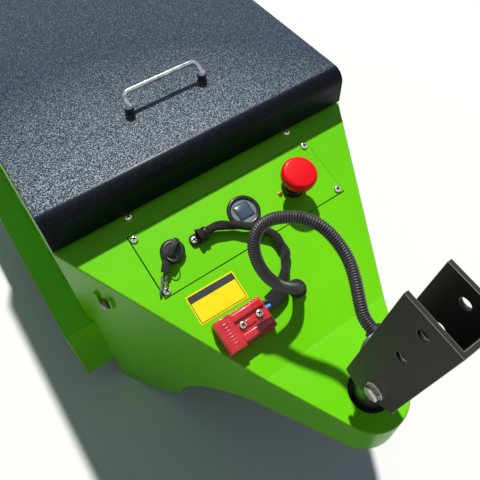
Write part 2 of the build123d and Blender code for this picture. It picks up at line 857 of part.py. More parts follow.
# Lid: a bent sheet with a rolled front, and folded side and back flanges
roll_centre = (lid_front_y + lid_roll_radius, lid_top_z - lid_roll_radius)
roll_mid = math.radians(135)
inner_roll = lid_roll_radius - lid_sheet
with BuildPart() as lid:
    with BuildSketch(Plane.YZ):
        with BuildLine():
            Polyline(
                (lid_back_y, lid_flange_low_z),
                (lid_back_y, lid_top_z),
                (roll_centre[0], lid_top_z),
            )
            ThreePointArc(
                (roll_centre[0], lid_top_z),
                (
                    roll_centre[0] + lid_roll_radius * math.cos(roll_mid),
                    roll_centre[1] + lid_roll_radius * math.sin(roll_mid),
                ),
                (lid_front_y, roll_centre[1]),
            )
            Polyline(
                (lid_front_y, roll_centre[1]),
                (lid_front_y, lid_apron_low_z),
                (lid_front_y + lid_sheet, lid_apron_low_z),
                (lid_front_y + lid_sheet, roll_centre[1]),
            )
            ThreePointArc(
                (lid_front_y + lid_sheet, roll_centre[1]),
                (
                    roll_centre[0] + inner_roll * math.cos(roll_mid),
                    roll_centre[1] + inner_roll * math.sin(roll_mid),
                ),
                (roll_centre[0], lid_top_z - lid_sheet),
            )
            Polyline(
                (roll_centre[0], lid_top_z - lid_sheet),
                (lid_back_y - lid_sheet, lid_top_z - lid_sheet),
                (lid_back_y - lid_sheet, lid_flange_low_z),
                (lid_back_y, lid_flange_low_z),
            )
        make_face()
    extrude(amount=lid_half_width, both=True)
    for side in (-1, 1):
        with BuildSketch(Plane.YZ.offset(side * lid_half_width)):
            with BuildLine():
                Polyline(
                    (lid_back_y, lid_flange_low_z),
                    (lid_back_y, lid_top_z),
                    (roll_centre[0], lid_top_z),
                )
                ThreePointArc(
                    (roll_centre[0], lid_top_z),
                    (
                        roll_centre[0] + lid_roll_radius * math.cos(roll_mid),
                        roll_centre[1] + lid_roll_radius * math.sin(roll_mid),
                    ),
                    (lid_front_y, roll_centre[1]),
                )
                Polyline((lid_front_y, roll_centre[1]), (lid_front_y, lid_flange_low_z), (lid_back_y, lid_flange_low_z))
            make_face()
        extrude(amount=-side * lid_sheet)
save(lid.part, "lid")

# Piano hinge behind the lid: knuckles in turn on the box and on the lid, and one pin
hinge_y = box_back_y + hinge_knuckle_radius + hinge_wall_gap
hinge_z = lid_flange_low_z
hinge_pitch = hinge_knuckle_length + hinge_gap
hinge_length = (2 * hinge_count + 1) * hinge_pitch - hinge_gap
first_x = -hinge_length / 2
leaf_clear = hinge_knuckle_radius + 1


def hinge_leaf_part(first, count, up, leaf_height):
    """One leaf of the hinge, flat on the wall behind it, with its own knuckles."""
    with BuildPart() as leaf:
        for knuckle in range(count):
            with BuildSketch(Plane.YZ.offset(first + 2 * knuckle * hinge_pitch)):
                with Locations((hinge_y, hinge_z)):
                    Circle(hinge_knuckle_radius)
                with Locations((box_back_y + hinge_leaf / 2, hinge_z + up * leaf_clear)):
                    Rectangle(hinge_leaf, 2 * leaf_clear)
                with Locations((box_back_y + hinge_leaf / 2, hinge_z - up * leaf_clear / 2)):
                    Rectangle(hinge_leaf * 3, leaf_clear, mode=Mode.SUBTRACT)
                with Locations((hinge_y, hinge_z)):
                    Circle(hinge_knuckle_radius)
                    Circle(hinge_pin_radius + stem_clearance, mode=Mode.SUBTRACT)
            extrude(amount=hinge_knuckle_length)
        with BuildSketch(Plane.XZ.offset(-box_back_y)):
            with Locations((0, hinge_z + up * (leaf_clear + leaf_height) / 2)):
                Rectangle(hinge_length, leaf_height - leaf_clear)
        extrude(amount=-hinge_leaf)
    return leaf.part


box_leaf = hinge_leaf_part(first_x, hinge_count + 1, -1, hinge_leaf_height)
save(box_leaf, "hinge_box_leaf")
lid_leaf_height = lid_top_z - lid_flange_low_z - 2 * lid_sheet
lid_leaf = hinge_leaf_part(first_x + hinge_pitch, hinge_count, 1, lid_leaf_height)
save(lid_leaf, "hinge_lid_leaf")

with BuildPart() as hinge_pin:
    with BuildSketch(Plane.YZ.offset(first_x)):
        with Locations((hinge_y, hinge_z)):
            Circle(hinge_pin_radius)
    extrude(amount=hinge_length)
save(hinge_pin.part, "hinge_pin")

# Wire handle that leans back on two black standoffs
with BuildPart() as handle_standoffs:
    with BuildSketch(Plane.XY.offset(lid_top_z)):
        with Locations((-handle_half_span, handle_y), (handle_half_span, handle_y)):
            Circle(handle_standoff_diameter / 2)
    extrude(amount=handle_standoff_height)
save(handle_standoffs.part, "handle_standoffs")

wire_low_z = lid_top_z + handle_standoff_height
bar_y = handle_y + handle_reach
bar_z = wire_low_z + handle_leg + handle_rise
with BuildPart() as lid_handle:
    with BuildLine() as wire:
        FilletPolyline(
            (-handle_half_span, handle_y, wire_low_z),
            (-handle_half_span, handle_y, wire_low_z + handle_leg),
            (-handle_half_span, bar_y, bar_z),
            (handle_half_span, bar_y, bar_z),
            (handle_half_span, handle_y, wire_low_z + handle_leg),
            (handle_half_span, handle_y, wire_low_z),
            radius=[handle_foot_bend, handle_bend_radius, handle_bend_radius, handle_foot_bend],
        )
    with BuildSketch(Plane.XY.offset(wire_low_z)):
        with Locations((-handle_half_span, handle_y)):
            Circle(handle_wire_diameter / 2)
    sweep()
save(lid_handle.part, "lid_handle")

# Curved guards over the bolts on both sides of the nose
for side, name in ((-1, "side_guard_left"), (1, "side_guard_right")):
    wall_x = nose_width_at(guard_place_y)
    guard_plane = Plane(
        origin=(side * wall_x, guard_place_y, guard_place_z),
        x_dir=(side * taper_sin, taper_cos, 0),
        z_dir=(side * taper_cos, -taper_sin, 0),
    )
    with BuildPart() as side_guard:
        with BuildSketch(guard_plane):
            Circle(guard_inner_radius + guard_wall)
            Circle(guard_inner_radius, mode=Mode.SUBTRACT)
            with Locations((0, -guard_inner_radius * 2)):
                Rectangle(guard_inner_radius * 6, guard_inner_radius * 4, mode=Mode.SUBTRACT)
            with Locations(
                (-(guard_inner_radius + guard_wall / 2), -guard_leg / 2),
                (guard_inner_radius + guard_wall / 2, -guard_leg / 2),
            ):
                Rectangle(guard_wall, guard_leg)
        extrude(amount=guard_depth)
    save(side_guard.part, name)
    with BuildPart() as guard_bolt:
        with BuildSketch(guard_plane):
            RegularPolygon(guard_bolt_radius, 6, major_radius=False)
        extrude(amount=guard_bolt_height)
    save(guard_bolt.part, name.replace("side_guard", "guard_bolt"))
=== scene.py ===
import functools
import math
import random

import bmesh
import bpy
from mathutils import Matrix, Vector


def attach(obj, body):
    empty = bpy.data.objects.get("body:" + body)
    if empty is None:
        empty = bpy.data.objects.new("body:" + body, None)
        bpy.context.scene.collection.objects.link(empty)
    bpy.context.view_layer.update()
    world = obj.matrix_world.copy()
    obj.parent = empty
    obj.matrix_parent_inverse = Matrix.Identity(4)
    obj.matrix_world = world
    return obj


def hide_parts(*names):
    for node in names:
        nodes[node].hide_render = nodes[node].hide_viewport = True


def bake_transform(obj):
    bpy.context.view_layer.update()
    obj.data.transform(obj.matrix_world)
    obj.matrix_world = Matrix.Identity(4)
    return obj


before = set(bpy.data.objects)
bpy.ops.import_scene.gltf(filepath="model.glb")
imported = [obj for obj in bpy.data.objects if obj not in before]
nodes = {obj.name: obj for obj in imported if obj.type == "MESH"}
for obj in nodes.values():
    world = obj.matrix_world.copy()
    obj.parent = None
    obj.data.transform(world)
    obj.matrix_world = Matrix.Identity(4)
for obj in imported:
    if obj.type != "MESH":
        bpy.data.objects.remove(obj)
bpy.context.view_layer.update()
print("frame loaded,", len(nodes), "nodes")

mm = 0.001
view = {
    "place": (-0.1971, -0.5495, 0.7331),
    "forward": (0.3275, 0.4912, -0.8071),
    "up": (0.4715, 0.6553, 0.5901),
    "lens": 40.95,
    "sensor": 36.0,
    "shiftY": -0.0542,
}
panel = {"origin": (0.0, -0.255, 0.250), "tilt": math.radians(15.4)}
panelPlace = Matrix.Translation(panel["origin"]) @ Matrix.Rotation(panel["tilt"], 4, "X")
panelNormal = panelPlace.to_3x3() @ Vector((0, 0, 1))


# places, in millimetres

def onPanel(right, up, height=0.0):  # a spot on the sloping panel as a point in the row frame
    return panelPlace @ (Vector((right, up, height)) * mm)


def shifted(place, x, y, z):  # moved along the place's own axes
    return place @ Matrix.Translation(Vector((x, y, z)) * mm)


def turned(place, degrees, axis="Z"):  # turned about one of its own axes
    return place @ Matrix.Rotation(math.radians(degrees), 4, axis)


def panelSpot(right, up, height=0.0, turn=0.0):  # place and turn of a piece that stands on the panel
    return turned(shifted(panelPlace, right, up, height), turn)


def onArc(radius, degrees):
    angle = math.radians(degrees)
    return radius * math.cos(angle), radius * math.sin(angle)


# mesh making

def joinRings(bm, rings):  # faces between neighbouring rings, triangles where a ring is one point
    faces = []
    for lower, upper in zip(rings, rings[1:]):
        for step in range(max(len(lower), len(upper))):
            around = ((lower, step), (lower, step + 1), (upper, step + 1), (upper, step))
            corners = list(dict.fromkeys(ring[index % len(ring)] for ring, index in around))
            if len(corners) > 2:
                faces.append(bm.faces.new(corners))
    return faces


def addLathe(bm, profile, place, sides, closed=False):
    # turned piece from (radius, height) pairs in millimetres, a ring where the profile is closed
    rings = []
    for radius, height in profile:
        ring = []
        for step in range(sides if radius > 1e-6 else 1):
            angle = 2 * math.pi * step / sides
            point = Vector((radius * math.cos(angle), radius * math.sin(angle), height)) * mm
            ring.append(bm.verts.new(place @ point))
        rings.append(ring)
    joinRings(bm, rings + rings[:1] if closed else rings)


def addPrism(bm, outline, low, high, place, bevel=0.0, steps=2):  # outline in millimetres, between two heights
    bottom, top = ([bm.verts.new(place @ (Vector((x, y, z)) * mm)) for x, y in outline] for z in (low, high))
    faces = [bm.faces.new(bottom[::-1]), bm.faces.new(top), *joinRings(bm, (bottom, top))]
    bmesh.ops.recalc_face_normals(bm, faces=faces)
    if bevel:
        edges = list({edge for face in faces for edge in face.edges})
        bmesh.ops.bevel(bm, geom=edges, offset=bevel * mm, segments=steps, profile=0.5, affect="EDGES", material=-1)


def addBox(bm, size, place, bevel=0.0, steps=2):  # block with its middle at the place
    x, y, z = (side / 2 for side in size)
    addPrism(bm, [(-x, -y), (x, -y), (x, y), (-x, y)], -z, z, place, bevel, steps)


def roundedOutline(width, depth, radius, steps=5):
    points = []
    for sideX, sideY, start in ((1, 1, 0), (-1, 1, 90), (-1, -1, 180), (1, -1, 270)):
        for step in range(steps + 1):
            x, y = onArc(radius, start + 90 * step / steps)
            points.append((sideX * (width / 2 - radius) + x, sideY * (depth / 2 - radius) + y))
    return points


def pathFrames(points, upward=None):  # side and up along a path: with no twist, or level with a surface
    frames = []
    tangent = (points[1] - points[0]).normalized()
    side = tangent.orthogonal().normalized()
    for index in range(len(points)):
        before = points[max(index - 1, 0)]
        after = points[min(index + 1, len(points) - 1)]
        newTangent = (after - before).normalized()
        side = newTangent.cross(upward) if upward else tangent.rotation_difference(newTangent) @ side
        tangent = newTangent
        side = (side - tangent * side.dot(tangent)).normalized()
        frames.append((side, side.cross(tangent) if upward else tangent.cross(side)))
    return frames


def distancesAlong(points):
    distances = [0.0]
    for before, after in zip(points, points[1:]):
        distances.append(distances[-1] + (after - before).length)
    return distances


def addTube(bm, points, radiusAt, sides, uvLayer=None, upward=None, squeeze=None):
    # closed tube; radiusAt(distance, angle) in metres, squeeze(distance) gives how wide and how high it is
    distances = distancesAlong(points)
    rings = []
    for point, (side, up), distance in zip(points, pathFrames(points, upward), distances):
        wide, high = squeeze(distance) if squeeze else (1.0, 1.0)
        ring = []
        for step in range(sides):
            angle = 2 * math.pi * step / sides
            reach = radiusAt(distance, angle)
            across, along = math.cos(angle) * reach * wide, math.sin(angle) * reach * high
            ring.append(bm.verts.new(point + side * across + up * along))
        rings.append(ring)
    for index, face in enumerate(joinRings(bm, rings)):
        if uvLayer:
            step = index % sides
            low, high = distances[index // sides:index // sides + 2]
            for loop, turn, along in zip(face.loops, (step, step + 1, step + 1, step), (low, low, high, high)):
                loop[uvLayer].uv = (turn / sides, along)
    bm.faces.new(rings[0][::-1])
    bm.faces.new(rings[-1])
    return distances[-1]


def smoothPath(name, controls, steps=12):  # points of a NURBS spline on the given control points
    curve = bpy.data.curves.new(name + "Path", "CURVE")
    curve.dimensions = "3D"
    curve.resolution_u = steps
    spline = curve.splines.new("NURBS")
    spline.points.add(len(controls) - 1)
    for point, control in zip(spline.points, controls):
        point.co = (*control, 1.0)
    spline.order_u = 3
    spline.use_endpoint_u = True
    holder = addObject(name + "Path", curve)
    bpy.context.view_layer.update()
    mesh = bpy.data.meshes.new_from_object(holder.evaluated_get(bpy.context.evaluated_depsgraph_get()))
    points = [vertex.co.copy() for vertex in mesh.vertices]
    bpy.data.objects.remove(holder)
    return points


def evenPath(points, spacing):  # the same line at even steps
    distances = distancesAlong(points)
    count = max(2, round(distances[-1] / spacing))
    result = []
    index = 0
    for step in range(count + 1):
        target = distances[-1] * step / count
        while index < len(points) - 2 and distances[index + 1] < target:
            index += 1
        span = distances[index + 1] - distances[index]
        share = (target - distances[index]) / span if span else 0.0
        result.append(points[index].lerp(points[index + 1], min(1.0, share)))
    return result


# objects

def addObject(name, data):
    item = bpy.data.objects.new(name, data)
    bpy.context.scene.collection.objects.link(item)
    return item


def meshObject(name, bm):
    mesh = bpy.data.meshes.new(name)
    bm.to_mesh(mesh)
    bm.free()
    return addObject(name, mesh)


def shadeSmooth(mesh, sharp):  # smooth faces, split at edges sharper than this many degrees
    for polygon in mesh.polygons:
        polygon.use_smooth = True
    mesh.set_sharp_from_angle(angle=math.radians(sharp))


def settle(piece, body, replaces=()):  # what it rides on and what it stands for
    if body:
        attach(piece, body)
    if replaces:
        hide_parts(*replaces)
    return piece


def finishPiece(name, bm, finish, replaces=(), sharp=35, body="body"):
    bmesh.ops.recalc_face_normals(bm, faces=bm.faces)
    piece = meshObject(name, bm)
    piece.data.materials.append(finishes[finish])
    shadeSmooth(piece.data, sharp)
    return settle(piece, body, replaces)


def buildPiece(name, finish, shapes, replaces=(), sharp=35, body="body"):
    # each shape is a mesh function and what it takes
    bm = bmesh.new()
    for addShape, *values in shapes:
        addShape(bm, *values)
    return finishPiece(name, bm, finish, replaces, sharp, body)


def applyModifiers(piece):  # bakes the live modifiers into the mesh
    bpy.context.view_layer.update()
    evaluated = piece.evaluated_get(bpy.context.evaluated_depsgraph_get())
    mesh = bpy.data.meshes.new_from_object(evaluated)
    piece.modifiers.clear()
    piece.data = mesh
    return mesh


# materials

def hexColour(text):  # sRGB hex to the linear value that the shader takes
    values = [int(text[start:start + 2], 16) / 255 for start in (1, 3, 5)]
    return (*(value / 12.92 if value <= 0.04045 else ((value + 0.055) / 1.055) ** 2.4 for value in values), 1.0)


def setNode(tree, node, settings, links):
    # settings are attributes, input values or a ramp's stops; in links a node stands for its first output
    for key, value in settings.items():
        if key == "stops":
            elements = node.color_ramp.elements
            while len(elements) < len(value):
                elements.new(0.5)
            for element, (place, colour) in zip(elements, value):
                element.position = place
                element.color = hexColour(colour)
        elif isinstance(key, int) or key in node.inputs:
            node.inputs[key].default_value = value
        else:
            setattr(node, key, value)
    for key, source in links.items():
        tree.links.new(source.outputs[0] if isinstance(source, bpy.types.Node) else source, node.inputs[key])


def addNode(tree, kind, settings=None, links=None):  # one node; shader nodes go by their short names
    node = tree.nodes.new(kind if hasattr(bpy.types, kind) else "ShaderNode" + kind)
    setNode(tree, node, settings or {}, links or {})
    return node


def startMaterial(name):
    material = bpy.data.materials.new(name)
    material.use_nodes = True
    add = functools.partial(addNode, material.node_tree)
    return material, add, add("TexCoord").outputs["Object"]


def perMetre(millimetres):  # a texture's scale from the real size of its grain
    return 1000.0 / millimetres


def mirroring(specular, coat=0.0, coatRoughness=0.12):  # how much of the surroundings a surface mirrors
    return {"Specular IOR Level": specular, "Coat Weight": coat, "Coat Roughness": coatRoughness}


def setSurface(material, values, links, height, depth):  # depth of the relief in millimetres
    tree = material.node_tree
    bump = addNode(tree, "Bump", {"Distance": depth * mm, "Strength": 1.0}, {"Height": height})
    setNode(tree, tree.nodes["Principled BSDF"], values, {**links, "Normal": bump})
    return material


def paintedSteel(name, deep, base, light, roughness, peelSize, peelDepth, worn=None, coat=0.0):
    # enamel or powder paint on sheet steel: slow drift in shade, a fine orange peel, dust in the hollows
    material, add, coords = startMaterial(name)
    drift = add("TexNoise", {"Scale": perMetre(150), "Detail": 3.0, "Roughness": 0.5}, {"Vector": coords})
    colour = add("ValToRGB", {"stops": ((0.25, deep), (0.52, base), (0.80, light))}, {"Fac": drift})
    dust = add("TexNoise", {"Scale": perMetre(7), "Detail": 6.0, "Roughness": 0.75}, {"Vector": coords})
    layers = [(dust, (0.60, 0.80), "#202020", "#D9D8C4")]
    if worn:  # bare or scuffed patches along an edge
        scuff = add("TexNoise", {"Scale": perMetre(9), "Detail": 5.0, "Roughness": 0.7}, {"Vector": coords})
        layers.append((scuff, (0.54, 0.74), "#B0B0B0", worn))
    for patches, (low, high), most, patchColour in layers:
        mask = add("ValToRGB", {"stops": ((low, "#000000"), (high, most))}, {"Fac": patches})
        mixed = add("Mix", {"data_type": "RGBA", 7: hexColour(patchColour)}, {0: mask, 6: colour})
        colour = mixed.outputs[2]
    gloss = add("MapRange", {"To Min": roughness - 0.05, "To Max": roughness + 0.10}, {"Value": dust})
    peel = add("TexNoise", {"Scale": perMetre(peelSize), "Detail": 2.0}, {"Vector": coords})
    return setSurface(material, mirroring(0.14, coat), {"Base Color": colour, "Roughness": gloss}, peel, peelDepth)


def texturedPowder(name, bend, far, near, grainSize):
    # wrinkle powder coat: black on the bends; where it faces up, a film of dust and pale grains that is partly
    # painted sky sheen, with a painted sun sheen of brighter grains towards the front left
    material, add, coords = startMaterial(name)
    cells = add("TexVoronoi", {"Scale": perMetre(grainSize), "Randomness": 1.0}, {"Vector": coords})
    mottle = add("TexNoise", {"Scale": perMetre(grainSize * 1.9), "Detail": 2.0, "Roughness": 0.6}, {"Vector": coords})
    thin, thick = (
        add("ValToRGB", {"stops": tuple(zip(places, colours))}, {"Fac": mottle})
        for places, colours in (((0.46, 0.56, 0.68), far), ((0.42, 0.52, 0.64), near))
    )
    # painted sun sheen: the near colours, brighter grains, fade in towards a spot above the front left of the lid
    reach = add("VectorMath", {"operation": "DISTANCE", 1: (-0.09, -0.32, 0.31)}, {0: coords})
    paintedSheenPatch = add("MapRange", {"From Min": 0.325, "From Max": 0.175}, {"Value": reach.outputs["Value"]})
    drift = add("TexNoise", {"Scale": perMetre(110), "Detail": 4.0, "Roughness": 0.6}, {"Vector": coords})
    keep = add("MapRange", {"From Min": 0.34, "From Max": 0.66, "To Min": 0.75, "To Max": 1.0}, {"Value": drift})
    level = add("Math", {"operation": "MULTIPLY"}, {0: keep, 1: paintedSheenPatch})
    dustAndSheen = add("Mix", {"data_type": "RGBA"}, {0: level, 6: thin, 7: thick})
    # dust together with painted sky sheen: the lighter film and grains go only where the surface faces up
    facing = add("SeparateXYZ", {}, {"Vector": coords.node.outputs["Normal"]}).outputs["Z"]
    upwardDustAndSheen = add("MapRange", {"From Min": 0.984, "From Max": 0.9993, "To Min": 0.03, "To Max": 1.0}, {"Value": facing})
    mixed = add("Mix", {"data_type": "RGBA", 6: hexColour(bend)}, {0: upwardDustAndSheen, 7: dustAndSheen.outputs[2]})
    gloss = add("MapRange", {"To Min": 0.26, "To Max": 0.42}, {"Value": mottle})
    height = add("Math", {"operation": "ADD"}, {0: cells, 1: mottle})
    # the blue specular tint is a painted reflection of a blue sky
    values = {**mirroring(0.06, 0.10, 0.26), "Specular Tint": hexColour("#9FBFE8")}
    return setSurface(material, values, {"Base Color": mixed.outputs[2], "Roughness": gloss}, height, 0.2)


def metal(name, colour, dark, roughness, stretch=(1.0, 1.0, 12.0), tarnish=30):
    # bare or plated metal: fine brushing one way and slow clouds of tarnish
    material, add, coords = startMaterial(name)
    mapping = add("Mapping", {"Scale": stretch}, {"Vector": coords})
    brush = add("TexNoise", {"Scale": perMetre(2.4), "Detail": 4.0}, {"Vector": mapping})
    cloud = add("TexNoise", {"Scale": perMetre(tarnish), "Detail": 5.0, "Roughness": 0.65}, {"Vector": coords})
    tint = add("ValToRGB", {"stops": ((0.35, dark), (0.62, colour))}, {"Fac": cloud})
    gloss = add("MapRange", {"To Min": roughness - 0.08, "To Max": roughness + 0.14}, {"Value": brush})
    return setSurface(material, {"Metallic": 1.0}, {"Base Color": tint, "Roughness": gloss}, brush, 0.02)


def moulded(name, deep, base, roughness, grainSize=0.9, grainDepth=0.02, coat=0.0, specular=0.3):
    # moulded plastic or rubber: an even colour with a fine spark-eroded grain and slight handling shine
    material, add, coords = startMaterial(name)
    handling = add("TexNoise", {"Scale": perMetre(16), "Detail": 4.0, "Roughness": 0.6}, {"Vector": coords})
    tint = add("ValToRGB", {"stops": ((0.35, deep), (0.65, base))}, {"Fac": handling})
    gloss = add("MapRange", {"To Min": roughness - 0.06, "To Max": roughness + 0.10}, {"Value": handling})
    grain = add("TexNoise", {"Scale": perMetre(grainSize), "Detail": 2.0}, {"Vector": coords})
    links = {"Base Color": tint, "Roughness": gloss}
    return setSurface(material, mirroring(specular, coat, 0.08), links, grain, grainDepth)


def braided(name, thread, ground, strandsAround, strandLength):
    # braided polyester sleeving: crossing strands that follow the tube, read from its own map
    material, add, coords = startMaterial(name)
    split = add("SeparateXYZ", {}, {"Vector": coords.node.outputs["UV"]}).outputs
    around = add("Math", {"operation": "MULTIPLY", 1: float(strandsAround)}, {0: split["X"]})
    along = add("Math", {"operation": "MULTIPLY", 1: perMetre(strandLength)}, {0: split["Y"]})
    heights = []
    for kind in ("ADD", "SUBTRACT"):
        diagonal = add("Math", {"operation": kind}, {0: around, 1: along})
        heights.append(add("Math", {"operation": "PINGPONG", 1: 0.5}, {0: diagonal}))
    weave = add("Math", {"operation": "MAXIMUM"}, {0: heights[0], 1: heights[1]})
    fuzz = add("TexNoise", {"Scale": perMetre(1.2), "Detail": 4.0, "Roughness": 0.7}, {"Vector": coords})
    mixed = add("Math", {"operation": "MULTIPLY"}, {0: weave, 1: fuzz})
    tint = add("ValToRGB", {"stops": ((0.05, ground), (0.30, thread))}, {"Fac": mixed})
    values = {**mirroring(0.2), "Roughness": 0.82, "Sheen Weight": 0.12, "Sheen Roughness": 0.5}
    return setSurface(material, values, {"Base Color": tint}, mixed, 0.5)


# far colours: dust film and grains; near colours: brighter grains of the painted sun sheen; then the grain size
lidGrainAndSheen = (("#1C2936", "#33434F", "#7A8996"), ("#1B2632", "#57656F", "#CBD0D0"), 0.68)
finishes = {
    "greenEnamel": paintedSteel("greenPowderEnamel", "#6BD203", "#74DC04", "#7EE40C", 0.34, 1.7, 0.03, coat=0.05),
    "greenEdge": paintedSteel("greenEnamelWornEdge", "#6CD006", "#7ADC14", "#88E62A", 0.38, 1.7, 0.03, worn="#B4E884"),
    "lidPowder": texturedPowder("blackWrinklePowder", "#03070D", *lidGrainAndSheen),
    "lidEdge": texturedPowder("blackPowderEdge", "#04080E", *lidGrainAndSheen),
    "chassisPaint": paintedSteel("chassisSatinPaint", "#2B2D2A", "#3A3C38", "#484A44", 0.48, 1.3, 0.05),
    "chassisEdge": paintedSteel("chassisPaintEdge", "#343632", "#454842", "#55584F", 0.45, 1.3, 0.04, worn="#7B7A70"),
    "footPaint": paintedSteel("footSatinPaint", "#262721", "#30312A", "#3C3D34", 0.38, 1.1, 0.05),
    # the foot's rounded edges: rubbed bare metal, and a pale band that is a painted highlight along the bends
    "footEdge": paintedSteel("footPaintRubbedAndHighlit", "#70716A", "#85867E", "#9C9D94", 0.35, 1.1, 0.04, worn="#C9C8BE"),
    "turnedSteel": metal("turnedSteel", "#77797A", "#505254", 0.32),
    "zinc": metal("zincPlate", "#CECCC4", "#A9A8A0", 0.27, tarnish=14),
    "wire": metal("polishedWire", "#B4BCC4", "#6E767E", 0.16, stretch=(12.0, 1.0, 1.0), tarnish=9),
    "brass": metal("brassLamp", "#E0B65A", "#A47C2E", 0.22, tarnish=4),
    "lead": metal("castLead", "#8B8D8F", "#5E6062", 0.45, tarnish=6),
    "blackPlastic": moulded("blackNylon", "#101113", "#1B1C1F", 0.42),
    "wornBlack": moulded("handledAbs", "#131416", "#2A2B2D", 0.36, grainSize=1.2, grainDepth=0.03),
    "oldSteel": metal("dullPlatedSteel", "#84827A", "#3C3B37", 0.34, tarnish=5),
    # painted shade: a darker steel for the inside of the screw heads' cross recesses
    "recess": metal("recessShadeSteel", "#3A3936", "#1E1E1C", 0.5, tarnish=5),
    "copper": metal("tinnedCopper", "#C9A084", "#8D6A52", 0.34, tarnish=6),
    "glossBlack": moulded("blackAbs", "#08090A", "#111316", 0.26, coat=0.12),
    "rubber": moulded("softRubber", "#141415", "#1E1E1F", 0.62, grainSize=0.7, grainDepth=0.05),
    "conduit": moulded("corrugatedPolyamide", "#0A0A0A", "#151515", 0.42, grainSize=1.4, specular=0.6),
    "plugRed": moulded("redPolycarbonate", "#C4141F", "#E0303C", 0.24, coat=0.35),
    "stopRed": moulded("redStopHead", "#F4000C", "#FF0014", 0.36, grainDepth=0.008, coat=0.06, specular=0.2),
    "blueLead": moulded("bluePvc", "#2F78DC", "#4A92F2", 0.38),
    "blackLead": moulded("blackPvc", "#121212", "#1D1D1D", 0.42),
    "dialGrey": moulded("greyDial", "#68737C", "#7F8A93", 0.36),
    "screenGlass": moulded("displayWindow", "#2E4356", "#3C566A", 0.22, grainDepth=0.004, coat=0.15),
    "labelYellow": moulded("yellowVinyl", "#F6E600", "#FFF000", 0.38, grainSize=2.0, grainDepth=0.01),
    "labelDark": moulded("darkVinylPrint", "#25272D", "#31343A", 0.40),
    "sleeve": braided("braidedSleeve", "#35352F", "#0C0C0B", 22, 3.4),
    "batteryCase": moulded("batteryPolypropylene", "#17181A", "#25272B", 0.36, grainSize=1.2, grainDepth=0.04),
}
print("finishes made,", len(finishes))


# camera

cameraData = bpy.data.cameras.new("camera")
cameraData.lens = view["lens"]
cameraData.sensor_width = view["sensor"]
cameraData.shift_y = view["shiftY"]
camera = addObject("camera", cameraData)
forward, up = Vector(view["forward"]).normalized(), Vector(view["up"]).normalized()
right = forward.cross(up).normalized()
up = right.cross(forward)
camera.matrix_world = Matrix.Translation(view["place"]) @ Matrix((right, up, -forward)).transposed().to_4x4()
bpy.context.scene.camera = camera


# cords

conduitSizes = {
    "diameter": 12.4,
    "pitch": 2.4,  # from rib to rib
    "ribDepth": 1.1,
    "sides": 24,
    "stepsPerRib": 6,
    "controls": (
        (0.0, -0.3565, 0.2308), (-0.004, -0.361, 0.242), (-0.0135, -0.3625, 0.254), (-0.0255, -0.3585, 0.266),
        (-0.035, -0.3505, 0.280), (-0.039, -0.340, 0.295), (-0.0375, -0.3295, 0.310), (-0.029, -0.3235, 0.323),
        (-0.0175, -0.3265, 0.334), (-0.0055, -0.3375, 0.341), (0.006, -0.3505, 0.343), (0.014, -0.3633, 0.339),
        (0.018, -0.3773, 0.332), (0.0185, -0.394, 0.324), (0.0145, -0.408, 0.3175), (0.009, -0.420, 0.3115),
        (0.004, -0.4305, 0.3055), (0.0, -0.441, 0.301), (0.0, -0.451, 0.301),
    ),
}


def makeConduit():
    sizes = conduitSizes
    pitch, outer = sizes["pitch"] * mm, sizes["diameter"] / 2 * mm
    path = evenPath(smoothPath("conduit", sizes["controls"]), pitch / sizes["stepsPerRib"])

    def ribbed(distance, angle):  # flat-topped ribs with narrow round grooves
        wave = 0.5 + 0.5 * math.cos(2 * math.pi * distance / pitch)
        return outer - sizes["ribDepth"] * mm * (1 - wave ** 0.55)

    bm = bmesh.new()
    length = addTube(bm, path, ribbed, sizes["sides"])
    piece = finishPiece("conduitHose", bm, "conduit", ("conduit", "conduit_end"), 80, None)
    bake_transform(piece)
    print("conduit length", round(length, 4))


makeConduit()

sleeveSizes = {
    "diameter": 11.0,
    "radius": 4.6,  # the braid lies tighter than the full tube
    "wide": 1.06,  # its flattened section against the round one
    "high": 0.88,
    "endWide": 1.82,
    "endHigh": 0.50,
    "flare": 0.024,  # length over which the end opens
    "flat": 0.012,  # length of the flat end
    "crease": 0.09,  # depth of the folds against the radius
    "bunch": 0.098,  # where the folds crowd together
    "bunchReach": 0.013,
    "step": 0.0011,
    "sides": 28,
    "leadDiameter": 4.6,
    "leadSpacing": 5.4,
    "plugBack": -48.3,
    "controls": (
        (-44.5, -1.0, 8.5), (-33.0, -1.0, 8.5), (-19.0, -8.5, 9.5), (-4.0, -20.0, 9.0), (9.0, -31.5, 8.0),
        (17.0, -47.0, 7.0), (13.5, -64.0, 6.5), (3.0, -77.5, 7.0), (-9.5, -90.5, 7.5), (-22.5, -99.5, 8.0),
        (-34.0, -99.5, 8.0),
    ),
}


